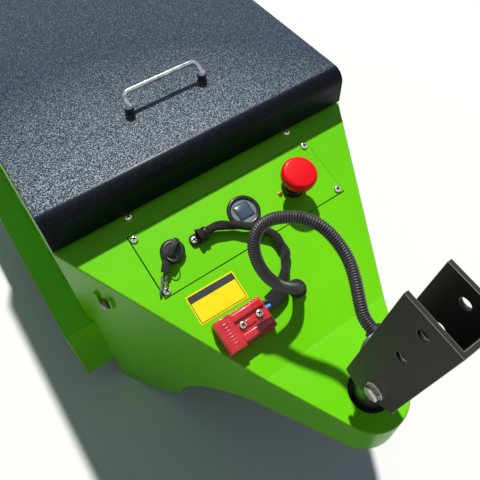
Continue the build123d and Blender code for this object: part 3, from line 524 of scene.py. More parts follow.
def makeSleeve(plugPieces):
    sizes = sleeveSizes
    path = evenPath(smoothPath("sleeve", [onPanel(*control) for control in sizes["controls"]]), sizes["step"])
    total = distancesAlong(path)[-1]
    radius = sizes["radius"] * mm
    dice = random.Random(8)
    folds = [
        (dice.uniform(0, 6.28), dice.uniform(80, 300), dice.randint(1, 3), dice.uniform(0.3, 0.9)) for _ in range(10)
    ]

    def creased(distance, angle):  # soft folds that wander round the tube and crowd where it bends
        fold = sum(size * math.sin(distance * rate + turn + angle * lobes) for turn, rate, lobes, size in folds)
        crowd = 1.0 + 1.8 * math.exp(-((distance - sizes["bunch"]) / sizes["bunchReach"]) ** 2)
        calm = min(1.0, max(0.15, (total - distance) / sizes["flare"]))
        return radius * (1.0 + sizes["crease"] * crowd * calm * max(-1.6, min(1.6, fold)))

    def flattened(distance):  # wider and lower towards the end
        share = min(1.0, max(0.0, 1.0 - (total - distance - sizes["flat"]) / sizes["flare"]))
        share = share * share * (3 - 2 * share)
        wide, high = sizes["wide"], sizes["high"]
        return wide + (sizes["endWide"] - wide) * share, high + (sizes["endHigh"] - high) * share

    def leadRadius(distance, angle):
        return sizes["leadDiameter"] / 2 * mm

    bm = bmesh.new()
    strands = bm.loops.layers.uv.new("strands")
    length = addTube(bm, path, creased, sizes["sides"], strands, panelNormal, flattened)
    piece = finishPiece("cableSleeve", bm, "sleeve", ("sleeve",), 80)
    near = onPanel(*sizes["controls"][-1])
    far = onPanel(sizes["plugBack"], *sizes["controls"][-1][1:])
    for name, node, side, slot in (
        ("blueLead", "lead_blue", -0.5, "blue_insulation"),
        ("blackLead", "lead_black", 0.5, "black_insulation"),
    ):
        lift = panelPlace.to_3x3() @ Vector((0, side * sizes["leadSpacing"] * mm, 0))
        run = [near.lerp(far, step / 8) + lift for step in range(9)]
        buildPiece(name, name, [(addTube, run, leadRadius, 20)], (node,), 80)
    print("sleeve length", round(length, 4))


plugSizes = {
    "place": (-68.2, -105.2),
    "length": 55.5,
    "width": 35.5,
    "height": 17.0,
    "noseLength": 18.5,
    "ribs": 9,
    "ribDepth": 1.4,
    "waist": 1.6,  # how far the back half's sides lie in
    "seam": 0.12,  # half the gap of the parting line
    "ridge": 9.0,  # width of the two rounded ridges on the back half
    "floorHeight": 13.4,
    "screws": ((-2.5, 0.8), (17.9, 1.7)),
}


def makePlug():
    sizes = plugSizes
    half, wide, high, seam = sizes["length"] / 2, sizes["width"] / 2, sizes["height"], sizes["seam"]
    noseEnd = -half + sizes["noseLength"]
    floor, parting = sizes["floorHeight"], high / 2
    low, tip = sizes["waist"] - wide, sizes["waist"] - wide - sizes["ribDepth"]  # between and on the side ribs
    pitch = (half - noseEnd) / sizes["ribs"]
    outline = [(noseEnd - 0.5, low)]
    for rib in range(sizes["ribs"]):
        start = noseEnd + rib * pitch
        outline += [(start + share * pitch, y) for share, y in ((0.12, low), (0.30, tip), (0.72, tip), (0.90, low))]
    outline.append((half, low))
    outline += [(x, -y) for x, y in reversed(outline)]
    nose = [(-half, -wide), (noseEnd, -wide), (noseEnd, wide), (-half, wide)]
    seat = panelSpot(*sizes["place"])
    shapes = []
    for bottom, top in ((0.2, parting - seam), (parting + seam, high)):  # two shells with a parting line between them
        shapes.append((addPrism, nose, bottom, top, seat, 1.0, 3))
        shapes.append((addPrism, outline, bottom + 0.1, min(top, floor), seat, 0.3))
    for side in (-1, 1):
        middle = side * (wide - 2.2 - sizes["ridge"] / 2)
        ridge = shifted(seat, (noseEnd + half) / 2 - 0.6, middle, (parting + high) / 2 + 0.2)
        shapes.append((addBox, (half - noseEnd + 0.2, sizes["ridge"], high - parting - 0.4), ridge, 2.2, 5))
        notch = shifted(seat, (noseEnd + half) / 2 + 2, middle - side * 1.0, high - 0.4)
        shapes.append((addLathe, [(0, -1), (2.6, -1), (2.6, 0.3), (2.2, 0.7), (0, 0.7)], notch, 24))
    shapes.append((addBox, (17.0, 6.5, 2.4), shifted(seat, noseEnd + 12.5, 0, floor + 0.6), 0.8, 3))
    for step in range(7):  # low grip bars across the nose
        shapes.append((addBox, (9.0, 1.5, 0.6), shifted(seat, -half + 9.5, -10.2 + 3.4 * step, high), 0.28))
    housing = buildPiece("plugHousing", "plugRed", shapes, ("plug",))
    tongues = [(addBox, (18.0, 9.0, 2.2), shifted(seat, -half + 10, side * 8.2, high / 2), 0.5) for side in (-1, 1)]
    contacts = buildPiece("plugContacts", "brass", tongues)  # deep in the mouth
    right, up = sizes["place"]
    spots = [panelScrew(right + x, up + y, high - 2.0, 0.92) for x, y in sizes["screws"]]
    return [housing, contacts, addScrews("plugScrews", spots, seed=11)]


# sheet metal: copies of the CAD parts with true rounded edges

def pieceName(node):
    first, *others = node.split("_")
    return "lidShell" if node == "lid" else first + "".join(word.capitalize() for word in others)


def roundedCopy(node, body, slot, look, width, steps=2, choose=None, least=32):
    # the CAD mesh with its shading splits closed and flat facets merged; every edge sharper than least degrees,
    # or those of them that choose takes, is rounded to the width in millimetres and gets the last finish
    bm = bmesh.new()
    bm.from_mesh(nodes[node].data)
    bmesh.ops.remove_doubles(bm, verts=bm.verts, dist=1e-5)
    bmesh.ops.dissolve_limit(bm, angle_limit=math.radians(1), verts=bm.verts, edges=bm.edges)
    weights = bm.edges.layers.float.new("bevel_weight_edge")
    for edge in bm.edges:
        sharp = len(edge.link_faces) == 2 and edge.calc_face_angle(0.0) > math.radians(least)
        edge[weights] = 1.0 if sharp and (not choose or choose(edge)) else 0.0
    for face in bm.faces:
        face.material_index = 0
        face.smooth = True
    piece = meshObject(pieceName(node), bm)
    for key in look:
        piece.data.materials.append(finishes[key])
    bevel = piece.modifiers.new("edge", "BEVEL")
    bevel.width = width * mm
    bevel.segments = steps
    bevel.limit_method = "WEIGHT"
    bevel.material = len(look) - 1
    bevel.miter_outer = "MITER_ARC"
    applyModifiers(piece).set_sharp_from_angle(angle=math.radians(40))
    piece.modifiers.new("flat", "WEIGHTED_NORMAL").keep_sharp = True
    applyModifiers(piece)
    return settle(piece, body, (node,))


noseSizes = {  # millimetres seen from above
    "crease": -408.3,  # bend between the panel and the deck
    "halfWidth": 190.0,
    "shoulder": -196.3,  # where the sides start to draw in
    "slope": 0.5228,
    "head": -473.0,  # steering head's axis
    "tip": 36.0,
    "plateEnd": -488.0,
    "rim": 4.0,
    "fold": 1.9,
    "edge": 0.8,
}


def edgeMiddle(edge):
    return (edge.verts[0].co + edge.verts[1].co) / 2 / mm


def nearRim(edge):  # on the outline of the nose's top sheet
    sizes = noseSizes
    middle = edgeMiddle(edge)
    if middle.y < sizes["head"]:
        return math.hypot(middle.x, middle.y - sizes["head"]) > sizes["tip"]
    halfWidth = sizes["halfWidth"] - max(0.0, sizes["shoulder"] - middle.y) * sizes["slope"]
    return abs(middle.x) > halfWidth - sizes["rim"]


def topFold(edge):  # the folds to the side plates and the bend between the panel and the deck
    ends = [vertex.co.y / mm for vertex in edge.verts]
    bend = max(abs(end - noseSizes["crease"]) for end in ends) < 3.0
    flat = min(abs(face.normal.z) for face in edge.link_faces) > 0.9
    sharp = edge.calc_face_angle(0.0) > math.radians(32)
    return bend and flat or sharp and max(face.normal.z for face in edge.link_faces) > 0.8 and nearRim(edge)


def lowRim(edge):  # free edges of a side plate, not those that meet the top sheet or the tip
    return max(face.normal.z for face in edge.link_faces) < 0.5 and edgeMiddle(edge).y > noseSizes["plateEnd"]


def underRim(edge):
    return min(face.normal.z for face in edge.link_faces) < -0.5


green, chassis = ("greenEnamel", "greenEdge"), ("chassisPaint", "chassisEdge")
for node, choose, width, least in (
    ("nose_panel", topFold, noseSizes["fold"], 5),
    ("nose_side_left", lowRim, noseSizes["edge"], 32),
    ("nose_side_right", lowRim, noseSizes["edge"], 32),
    ("nose_tip", underRim, noseSizes["edge"], 32),
):
    roundedCopy(node, "body", "green_paint", green, width, 4, choose, least)

enamel, satin = ("body", "green_paint", green), ("body", "chassis_paint", chassis)
aged, plated = ("body", "zinc_bolt", ("oldSteel",)), ("body", "zinc_bolt", ("zinc",))
copies = (  # body, slot and finishes, with the edge radius in millimetres of each CAD part
    (enamel, {"control_plate": 0.25}),
    (satin, {"plate_tabs": 0.4}),
    (enamel, {"box_side_left": 0.8, "box_side_right": 0.8, "box_back": 0.6, "box_bulkhead": 0.6}),
    (satin, {"box_floor": 0.6}),
    (enamel, {"side_guard_left": 0.6, "side_guard_right": 0.6}),
    (aged, {"guard_bolt_left": 0.7, "guard_bolt_right": 0.7}),
    (enamel, {"frame_front": 1.0, "frame_rail_left": 1.0, "frame_rail_right": 1.0, "frame_back": 1.0}),
    (satin, {"steering_beam": 1.4, "head_tube": 0.8}),
    (("lid", "black_texture", ("lidPowder", "lidEdge")), {"lid": 0.9}),
    (plated, {"hinge_box_leaf": 0.35}),
    (("lid", "zinc_bolt", ("zinc",)), {"hinge_lid_leaf": 0.35}),
    (plated, {"hinge_pin": 0.3}),
    (("swivel", "machined_steel", ("turnedSteel",)), {"swivel_yoke": 0.6}),
    (("swivel", "black_plastic", ("blackPlastic",)), {"conduit_gland": 0.5}),
    (("foot", "foot_paint", ("footPaint", "footEdge")), {"tiller_foot": 1.5}),
)
plateShift = (0.55, 0.45, 0.0)  # the control plate sits high and to the right in its opening
for kind, radii in copies:
    for node, radius in radii.items():
        piece = roundedCopy(node, *kind, radius)
        if node == "control_plate":
            piece.data.transform(Matrix.Translation(panelPlace.to_3x3() @ (Vector(plateShift) * mm)))
print("sheet metal ready")


# fasteners

headSizes = {
    "radius": 4.25,
    "height": 2.9,
    "rim": 1.0,
    "crossWidth": 1.5,
    "crossReach": 2.7,
    "crossDepth": 1.9,
    "bead": 2.3,  # radius of a weld ripple
}


def panHead():  # cross-recess pan head
    sizes = headSizes
    radius, height, rim = sizes["radius"], sizes["height"], sizes["rim"]
    profile = [(0, 0), (radius, 0), (radius, rim)]
    for step in range(1, 8):
        across, along = onArc(1.0, 90 * step / 8)
        profile.append((radius * (0.45 + 0.55 * across), rim + (height - rim) * along))
    bm = bmesh.new()
    addLathe(bm, [*profile, (0, height)], Matrix(), 32)
    bmesh.ops.recalc_face_normals(bm, faces=bm.faces)
    piece = meshObject("panHead", bm)
    reach, half = sizes["crossReach"], sizes["crossWidth"] / 2
    arm = [(half, half), (half, reach), (-half, reach)]
    cross = []
    for _ in range(4):
        cross += arm
        arm = [(-y, x) for x, y in arm]
    bm = bmesh.new()
    addPrism(bm, cross, height - sizes["crossDepth"], height + 1, Matrix())
    cutter = meshObject("cross", bm)
    cut = piece.modifiers.new("cut", "BOOLEAN")
    cut.operation = "DIFFERENCE"
    cut.solver = "EXACT"
    cut.object = cutter
    mesh = applyModifiers(piece)
    bpy.data.objects.remove(cutter)
    recess = mesh.attributes.new("recess", "BOOLEAN", "FACE")
    for index, polygon in enumerate(mesh.polygons):  # the walls and floor of the cross, which get a painted shade
        middle = polygon.center / mm
        inside = math.hypot(middle.x, middle.y) < reach + 0.2 and middle.z > 0.2
        recess.data[index].value = inside and (middle.z < height - 0.4 or abs(polygon.normal.z) < 0.3)
    return piece


def weldRipple():  # one ripple of a weld bead
    bm = bmesh.new()
    bmesh.ops.create_icosphere(bm, subdivisions=2, radius=headSizes["bead"] * mm)
    bmesh.ops.transform(bm, matrix=Matrix.Diagonal((1.0, 1.0, 0.6, 1.0)), verts=bm.verts)
    return meshObject("weldRipple", bm)


def screwTree():  # heads set on points, each turned at random about its own axis
    tree = bpy.data.node_groups.new("screwSet", "GeometryNodeTree")
    add = functools.partial(addNode, tree)
    sockets = {}
    for label, kind in (("Points", "Geometry"), ("Head", "Object"), ("Finish", "Material"), ("Seed", "Int")):
        socket = tree.interface.new_socket(label, in_out="INPUT", socket_type="NodeSocket" + kind)
        sockets[label] = socket.identifier
    tree.interface.new_socket("Screws", in_out="OUTPUT", socket_type="NodeSocketGeometry")
    given = add("NodeGroupInput").outputs
    aim, size, recess = (
        add("GeometryNodeInputNamedAttribute", {"data_type": kind, "Name": label})
        for label, kind in (("aim", "FLOAT_VECTOR"), ("size", "FLOAT"), ("recess", "BOOLEAN"))
    )
    points = add("GeometryNodeMeshToPoints", {}, {"Mesh": given["Points"]})
    head = add("GeometryNodeObjectInfo", {"transform_space": "ORIGINAL"}, {"Object": given["Head"]})
    align = add("FunctionNodeAlignRotationToVector", {"axis": "Z"}, {"Vector": aim})
    spin = add("FunctionNodeRandomValue", {"data_type": "FLOAT", "Max": 6.283}, {"Seed": given["Seed"]})
    turn = add("FunctionNodeAxisAngleToRotation", {}, {"Angle": spin.outputs[1]})
    posed = add("FunctionNodeRotateRotation", {"rotation_space": "LOCAL"}, {0: align, 1: turn})
    placed = add("GeometryNodeInstanceOnPoints", {}, {
        "Points": points, "Instance": head.outputs["Geometry"], "Rotation": posed, "Scale": size})
    real = add("GeometryNodeRealizeInstances", {}, {0: placed})
    painted = add("GeometryNodeSetMaterial", {}, {"Geometry": real, "Material": given["Finish"]})
    # painted shade: the faces of the cross recess get the darker steel
    dark = {"Material": finishes["recess"]}
    recessShaded = add("GeometryNodeSetMaterial", dark, {"Geometry": painted, "Selection": recess})
    add("NodeGroupOutput", {}, {0: recessShaded})
    return tree, sockets


heads = {"pan": panHead(), "ripple": weldRipple()}
screws = screwTree()


def addScrews(name, spots, seed=3, body="body", head="pan", finish="zinc"):
    # spots: place, aim, size
    mesh = bpy.data.meshes.new(name)
    mesh.from_pydata([place for place, _, _ in spots], [], [])
    mesh.attributes.new("aim", "FLOAT_VECTOR", "POINT")
    mesh.attributes.new("size", "FLOAT", "POINT")
    for index, (_, aim, size) in enumerate(spots):
        mesh.attributes["aim"].data[index].vector = aim
        mesh.attributes["size"].data[index].value = size
    piece = addObject(name, mesh)
    tree, sockets = screws
    modifier = piece.modifiers.new("screws", "NODES")
    modifier.node_group = tree
    for label, value in (("Head", heads[head]), ("Finish", finishes[finish]), ("Seed", seed)):
        modifier[sockets[label]] = value
    shadeSmooth(applyModifiers(piece), 32)
    return settle(piece, body)


def panelScrew(right, up, height=0.0, size=1.0):
    return onPanel(right, up, height), panelNormal, size


panelScrewSizes = {"corner": (113.4, 32.8), "upper": (106, 58), "upperSize": 0.95}
x, y = panelScrewSizes["corner"]
farX, farY = panelScrewSizes["upper"]
upperSize = panelScrewSizes["upperSize"]
addScrews("panelScrews", [
    panelScrew(-x, y), panelScrew(x, y), panelScrew(-x, -y), panelScrew(x, -y),
    panelScrew(-farX, farY, 0, upperSize), panelScrew(farX, farY, 0, upperSize),
])
print("fasteners ready")
makeSleeve(makePlug())


# controls on the panel

keySizes = {
    "place": (-87.0, 0.0),
    "turn": 35.0,
    "bezel": 13.25,
    "bezelHeight": 8.0,
    "grip": (22.0, 6.4, 11.0),
    "ring": (-92.4, -8.0, 13.5, 5.4, 0.6),  # right, up, height, radius, wire
    "tag": (-102.5, -12.0, 8.0, 12.0, 8.6, 4.2),  # right, up, height, length, width, thickness
    "blades": ((-116.4, -26.4, 4.2, 20.0, 53.0), (-109.6, -25.4, 4.6, 13.0, 58.0)),  # right, up, height, length, turn
}


def makeKeySwitch():
    sizes = keySizes
    seat = panelSpot(*sizes["place"])
    bezel, height = sizes["bezel"], sizes["bezelHeight"]
    profile = [
        (0, -24), (10.8, -24), (11, -23.6), (11, 0), (bezel, 0), (bezel, height - 3.4), (bezel - 0.25, height - 2.6),
        (bezel - 0.9, height - 1.6), (bezel - 1.9, height - 0.7), (bezel - 3.2, height - 0.2), (bezel - 4.2, height),
        (8.4, height), (8.2, height - 0.5), (0, height - 0.5),
    ]
    buildPiece("keySwitchBody", "wornBlack", [(addLathe, profile, seat, 72)], ("key_switch",), 28)
    long, wide, tall = sizes["grip"]
    top = panelSpot(*sizes["place"], height, sizes["turn"])
    bow = [(-long / 2, -0.6), (long / 2, -0.6)]
    for step in range(11):
        across, along = onArc(1.0, 18 * step)
        bow.append((long / 2 * math.copysign(abs(across) ** 0.6, across), tall - 4.0 + 4.0 * along ** 0.8))
    shapes = [(addPrism, bow, -wide / 2, wide / 2, turned(top, 90, "X"), 1.0, 3)]
    for across in (-2.0, 0.0, 2.0):  # raised lines along the grip
        shapes.append((addBox, (long * 0.62, 0.7, 0.7), shifted(top, 0, across, tall + 0.1), 0.25))
    buildPiece("keyGrip", "wornBlack", shapes, ("key",))
    right, up, high, radius, wire = sizes["ring"]
    section = [(radius + x, y) for x, y in (onArc(wire, 30 * step) for step in range(12))]
    shapes = [(addLathe, section, turned(panelSpot(right, up, high, 35), 36, "Y"), 40, True)]
    for right, up, high, long, turn in sizes["blades"]:
        half = long / 2
        teeth = [(-half, -0.8), (-half + 1.4, -1.4), (half, -1.4), (half, 1.4), (half - 4, 1.4)]
        for step in range(4):
            start = half - 5.0 - step * (long - 7) / 4
            teeth += [(start, 0.4), (start - (long - 7) / 8, 1.3)]
        teeth.append((-half + 0.6, 0.5))
        shapes.append((addPrism, teeth, -0.6, 0.6, turned(panelSpot(right, up, high, turn), -9, "Y"), 0.15, 1))
    buildPiece("keyRingAndBlades", "oldSteel", shapes)
    right, up, high, long, wide, thick = sizes["tag"]
    tag = turned(panelSpot(right, up, high, 50), -14, "Y")
    shapes = [(addPrism, roundedOutline(long, wide, 1.4), -thick / 2, thick / 2, tag, 0.6)]
    buildPiece("spareKeyHead", "wornBlack", shapes)


makeKeySwitch()

gaugeSizes = {"place": (4.1, 0.0), "bezel": 19.0, "bezelHeight": 3.2, "face": 14.3, "screen": 16.3, "screenRim": 18.7}


def makeGauge():
    sizes = gaugeSizes
    seat = panelSpot(*sizes["place"])
    bezel, height, face, side, rim = (sizes[key] for key in ("bezel", "bezelHeight", "face", "screen", "screenRim"))
    profile = [
        (0, -26), (face + 2.2, -26), (face + 2.6, -25.5), (face + 2.6, 0), (bezel, 0), (bezel, 1.2),
        (bezel - 0.4, 2.2), (bezel - 1.3, 2.9), (bezel - 2.4, height), (face + 1.4, height - 0.1),
        (face + 0.4, height - 0.6), (face, height - 1.5), (face, 0.8), (0, 0.8),
    ]
    disc = [(0, 0.7), (face - 0.1, 0.7), (face - 0.1, 1.1), (0, 1.1)]
    screen = (addPrism, roundedOutline(side, side, 1.2), 1.0, 2.0, seat, 0.3)
    border = (addPrism, roundedOutline(rim, rim, 1.8), 0.9, 1.5, seat, 0.2, 1)
    buildPiece("gaugeBezel", "glossBlack", [(addLathe, profile, seat, 72)], ("gauge",), 30)
    buildPiece("gaugeFace", "dialGrey", [(addLathe, disc, seat, 64)], sharp=30)
    buildPiece("gaugeScreen", "screenGlass", [screen], ("gauge_display",), 30)
    buildPiece("gaugeScreenRim", "blackPlastic", [border], sharp=30)


makeGauge()

stopSizes = {
    "place": (69.5, -4.0),
    "collar": 13.5,
    "collarHeight": 9.0,
    "stem": 7.5,
    "head": 20.0,
    "low": 25.0,
    "high": 39.0,
    "shoulder": 4.8,
    "dome": 0.7,
}


def makeStop():
    sizes = stopSizes
    seat = panelSpot(*sizes["place"])
    collar, rise, stem, low = sizes["collar"], sizes["collarHeight"], sizes["stem"], sizes["low"]
    profile = [
        (0, -28), (10.8, -28), (11, -27.6), (11, 0), (collar, 0), (collar, rise - 2), (collar - 0.8, rise - 0.6),
        (collar - 2, rise), (stem + 1.2, rise), (stem + 0.6, rise + 0.6), (stem, rise + 1.4), (stem, low + 1),
        (0, low + 1),
    ]
    buildPiece("stopCollar", "glossBlack", [(addLathe, profile, seat, 64)], ("estop_base",), 30)
    head, shoulder, dome = sizes["head"], sizes["shoulder"], sizes["dome"]
    flank = sizes["high"] - dome
    profile = [
        (0, low + 2.5), (head - 7, low + 2.5), (head - 5, low + 1.2), (head - 3, low), (head - 1.2, low + 0.6),
        (head - 0.3, low + 1.8), (head, low + 3.4),
    ]
    for step in range(1, 13):  # round shoulder into a slightly domed top
        across, along = onArc(shoulder, 90 * step / 12)
        profile.append((head - shoulder + across, flank - shoulder + along))
    for step in range(1, 7):
        share = step / 6
        profile.append(((head - shoulder) * (1 - share), flank + dome * (1 - (1 - share) ** 2)))
    buildPiece("stopHead", "stopRed", [(addLathe, profile, seat, 96)], ("estop_head",), 40)


makeStop()

lampSizes = {"place": (52.0, -3.6), "radius": 2.8, "height": 1.8}


def makeLamp():
    radius, height = lampSizes["radius"], lampSizes["height"]
    profile = [
        (0, -3), (1.6, -3), (1.6, 0), (radius, 0), (radius, height * 0.5), (radius - 0.3, height * 0.8),
        (radius - 0.9, height * 0.85), (radius - 1.1, height * 0.75), (1.4, height * 0.95), (0.8, height), (0, height),
    ]
    shapes = [(addLathe, profile, panelSpot(*lampSizes["place"]), 32)]
    buildPiece("chargeLamp", "brass", shapes, ("charge_lamp",), 30)


makeLamp()

clipSizes = {
    "end": -44.5,
    "up": -1.0,
    "length": 21.0,
    "width": 13.0,
    "footHeight": 3.0,
    "axisHeight": 8.5,
    "strap": (-50.0, -46.6),  # from and to, along the sleeve
    "strapThickness": 1.1,
    "screw": -61.0,
}


def makeClip():
    sizes = clipSizes
    end, up, axis, half = sizes["end"], sizes["up"], sizes["axisHeight"], sizes["width"] / 2
    foot = panelSpot(end - sizes["length"] / 2, up)
    block = (addPrism, roundedOutline(sizes["length"], sizes["width"], 4.4), 0, sizes["footHeight"], foot, 0.5)
    buildPiece("clipFoot", "rubber", [block], ("cable_boot",))
    strap = []
    for reach, side in ((half, -1), (half - sizes["strapThickness"], 1)):  # out over the sleeve and back inside
        arc = [onArc(reach, angle) for angle in range(15, 180, 15)]
        strap += [(side * reach, 0.0), (side * reach, axis)]
        strap += [(side * x, axis + y) for x, y in arc]
        strap += [(-side * reach, axis), (-side * reach, 0.0)]
    along = shifted(panelPlace, 0, up, 0) @ Matrix(((0, 0, 1, 0), (1, 0, 0, 0), (0, 1, 0, 0), (0, 0, 0, 1)))
    buildPiece("clipStrap", "wornBlack", [(addPrism, strap, *sizes["strap"], along, 0.25)])
    mouth = turned(panelSpot(end, up, axis), -90, "Y") @ Matrix.Diagonal((0.74, 1.04, 1.0, 1.0))
    bm = bmesh.new()
    strands = bm.loops.layers.uv.new("strands")
    addLathe(bm, [
        (0, -1.5), (4.6, -1.5), (4.9, 2), (5.6, 5), (6.9, 8.5), (7.7, 11.2), (7.5, 11.8), (6.9, 11.3), (5.4, 8),
        (4.4, 4), (0, 3.5)], mouth, 40)
    local = mouth.inverted()
    for face in bm.faces:
        for loop in face.loops:
            place = local @ loop.vert.co
            loop[strands].uv = (math.atan2(place.y, place.x) / (2 * math.pi), place.z)
    finishPiece("sleeveMouth", bm, "sleeve", sharp=60)
    addScrews("clipScrew", [panelScrew(sizes["screw"], up, sizes["footHeight"], 0.95)], seed=5)


makeClip()

grommetSizes = {"place": (2.8, -102.0), "rim": 10.25, "rimHeight": 2.6, "collar": 7.6, "hole": 8.2}


def makeGrommet():
    rim, rise, collar, hole = (grommetSizes[key] for key in ("rim", "rimHeight", "collar", "hole"))
    profile = [
        (0, -5.5), (hole - 0.3, -5.5), (hole, -5), (hole, 0), (rim, 0), (rim, 1.2), (rim - 0.5, 2.1), (rim - 1.4, rise),
        (rim - 2.0, rise), (collar + 0.3, rise + 0.4), (collar, 5.0), (collar - 0.2, 8.0), (collar - 0.6, 9.2),
        (collar - 1.0, 9.6), (0, 9.6),
    ]
    shapes = [(addLathe, profile, panelSpot(*grommetSizes["place"]), 56)]
    buildPiece("grommetRing", "rubber", shapes, ("grommet",), 34)


makeGrommet()

labelSizes = {
    "place": (-73.8, -65.4, 0.0, -1.3),  # right, up, height, turn
    "sheet": (57, 33, 0.3),
    "print": (0.305, 0.11),  # middle height, thickness
    "blocks": ((0, -14.8, 54.2, 0.7), (-26.8, -1.8, 0.7, 26.6), (26.8, -1.8, 0.7, 26.6), (0, 11.2, 54.2, 7.6)),
}


def makeLabel():  # plain yellow sign with a dark header block and a thin border, nothing on it
    place = panelSpot(*labelSizes["place"])
    wide, tall, thick = labelSizes["sheet"]
    sheet = (addPrism, roundedOutline(wide, tall, 0.8), 0.0, thick, place, 0.08, 1)
    buildPiece("labelSheet", "labelYellow", [sheet])
    height, thick = labelSizes["print"]
    lines = [(addBox, (wide, tall, thick), shifted(place, x, y, height)) for x, y, wide, tall in labelSizes["blocks"]]
    buildPiece("labelLines", "labelDark", lines)


makeLabel()


# lid handle

handleSizes = {
    "wire": 2.8,
    "postRadius": 5.5,
    "postTop": 10.7,
    "feet": ((-47.0, -112.5), (47.0, -112.5)),
    "lidTop": 314.3,
    "step": 0.0012,
    "bow": (
        (-47.0, -112.5, 324.0), (-47.0, -112.5, 326.0), (-47.0, -112.3, 328.0), (-47.0, -110.6, 330.2),
        (-46.9, -107.4, 332.6), (-46.0, -104.6, 334.4), (-43.9, -102.2, 335.6), (-40.5, -101.1, 336.0),
        (-36.0, -101.0, 336.0), (-18.0, -101.0, 336.0),
    ),
}


def makeHandle():
    sizes = handleSizes
    top, radius, lidTop = sizes["postTop"], sizes["postRadius"], sizes["lidTop"]
    post = [
        (0, -0.6), (radius + 0.6, -0.6), (radius + 0.6, 0.8), (radius, 1.6), (radius - 0.5, 3),
        (radius - 0.5, top - 2.6), (radius, top - 1.4), (radius, top - 0.4), (radius - 0.4, top), (0, top),
    ]
    collar = [(0, 0), (4.9, 0), (5.0, 0.4), (4.9, 1.2), (4.2, 1.5), (3.9, 3.0), (3.4, 3.4), (0, 3.4)]
    posts = [(addLathe, post, shifted(Matrix(), x, y, lidTop), 40) for x, y in sizes["feet"]]
    collars = [(addLathe, collar, shifted(Matrix(), x, y, lidTop + top), 36) for x, y in sizes["feet"]]
    buildPiece("handlePosts", "rubber", posts, ("handle_standoffs",), 32, "lid")
    buildPiece("handleCollars", "wire", collars, (), 32, "lid")  # the wire stands in them

    def wireRadius(distance, angle):
        return sizes["wire"] * mm

    half = [Vector(point) * mm for point in sizes["bow"]]
    mirrored = [Vector((-point.x, point.y, point.z)) for point in reversed(half)]
    path = evenPath(smoothPath("handle", half + mirrored), sizes["step"])
    buildPiece("handleWire", "wire", [(addTube, path, wireRadius, 24)], ("lid_handle",), 80, "lid")


makeHandle()


# batteries under the lid

batterySizes = {
    "centres": (-84.5, 84.5),
    "middle": -40.0,
    "base": 118.0,
    "case": (165.0, 197.0, 156.0),
    "cap": (161.0, 193.0, 9.0),
    "flutes": (-50, 0, 50),
    "terminal": (52.0, -78.0),
    "terminalRadius": 8.5,
    "terminalHeight": 7.0,
    "plugs": 6,
    "plugPitch": 23,
    "plugRadius": 9.0,
}


def makeBatteries():
    sizes = batterySizes
    long, deep, tall = sizes["case"]
    capLong, capDeep, capTall = sizes["cap"]
    base, middle = sizes["base"], sizes["middle"]
    capTop = base + tall + capTall
    radius = sizes["plugRadius"]
    plug = [(0, -1), (radius, -1), (radius, 0.9), (radius - 0.8, 1.6), (2.2, 1.6), (1.8, 0.8), (0, 0.8)]
    for side, centre in zip(("Left", "Right"), sizes["centres"]):
        seat = shifted(Matrix(), centre, middle, 0)
        shapes = [
            (addPrism, roundedOutline(long, deep, 5.0), base, base + tall, seat, 1.2, 3),
            (addPrism, roundedOutline(capLong, capDeep, 5.0), base + tall - 0.4, capTop, seat, 1.8, 3),
        ]
        for x in sizes["flutes"]:  # down the front and back of the case
            for face in (-1, 1):
                flute = shifted(seat, x, face * (deep / 2 - 0.8), base + tall / 2)
                shapes.append((addBox, (30.0, 2.2, tall - 30), flute, 0.8))
        for step in range(sizes["plugs"]):  # filler plugs in a row
            x = (step - (sizes["plugs"] - 1) / 2) * sizes["plugPitch"]
            shapes.append((addLathe, plug, shifted(seat, x, 0, capTop), 28))
        buildPiece("battery" + side, "batteryCase", shapes, ("battery_" + side.lower(),))
    across, along = sizes["terminal"]
    top, radius = sizes["terminalHeight"], sizes["terminalRadius"]
    post = [
        (0, -0.5), (radius, -0.5), (radius, 1.0), (radius - 1.4, 1.6), (radius - 1.9, top - 0.6), (radius - 2.5, top),
        (0, top),
    ]
    places = [centre + side * across for centre in sizes["centres"] for side in (-1, 1)]
    spots = [shifted(Matrix(), x, middle + along, capTop) for x in places]
    buildPiece("batteryPosts", "lead", [(addLathe, post, spot, 32) for spot in spots])
    clamps = [(addPrism, roundedOutline(20.0, 16.0, 5.0), 1.8, 4.4, spot, 0.5) for spot in spots]
    link = shifted(Matrix(), 0, middle + along, capTop + 3.1)  # from one battery to the other
    clamps.append((addBox, (2 * (sizes["centres"][1] - across), 11.0, 2.2), link, 0.4))
    buildPiece("batteryLinks", "copper", clamps)


makeBatteries()


# repeated small parts on the sheet metal

hingeScrewSizes = {
    "columns": (-134.0, -89.0, -44.0, 0.0, 44.0, 89.0, 134.0),
    "back": 207.5,
    "rows": (("boxHingeScrews", "body", 279.5, 0.85), ("lidHingeScrews", "lid", 307.0, 0.62)),  # with height and size
}
weldSizes = {
    "length": 26.0,
    "pitch": 1.7,
    "frameTop": 116.4,
    "side": 190.3,
    "rows": (-150.0, -60.0, 30.0, 120.0),
    "back": 205.3,
    "columns": (-120.0, 0.0, 120.0),
}


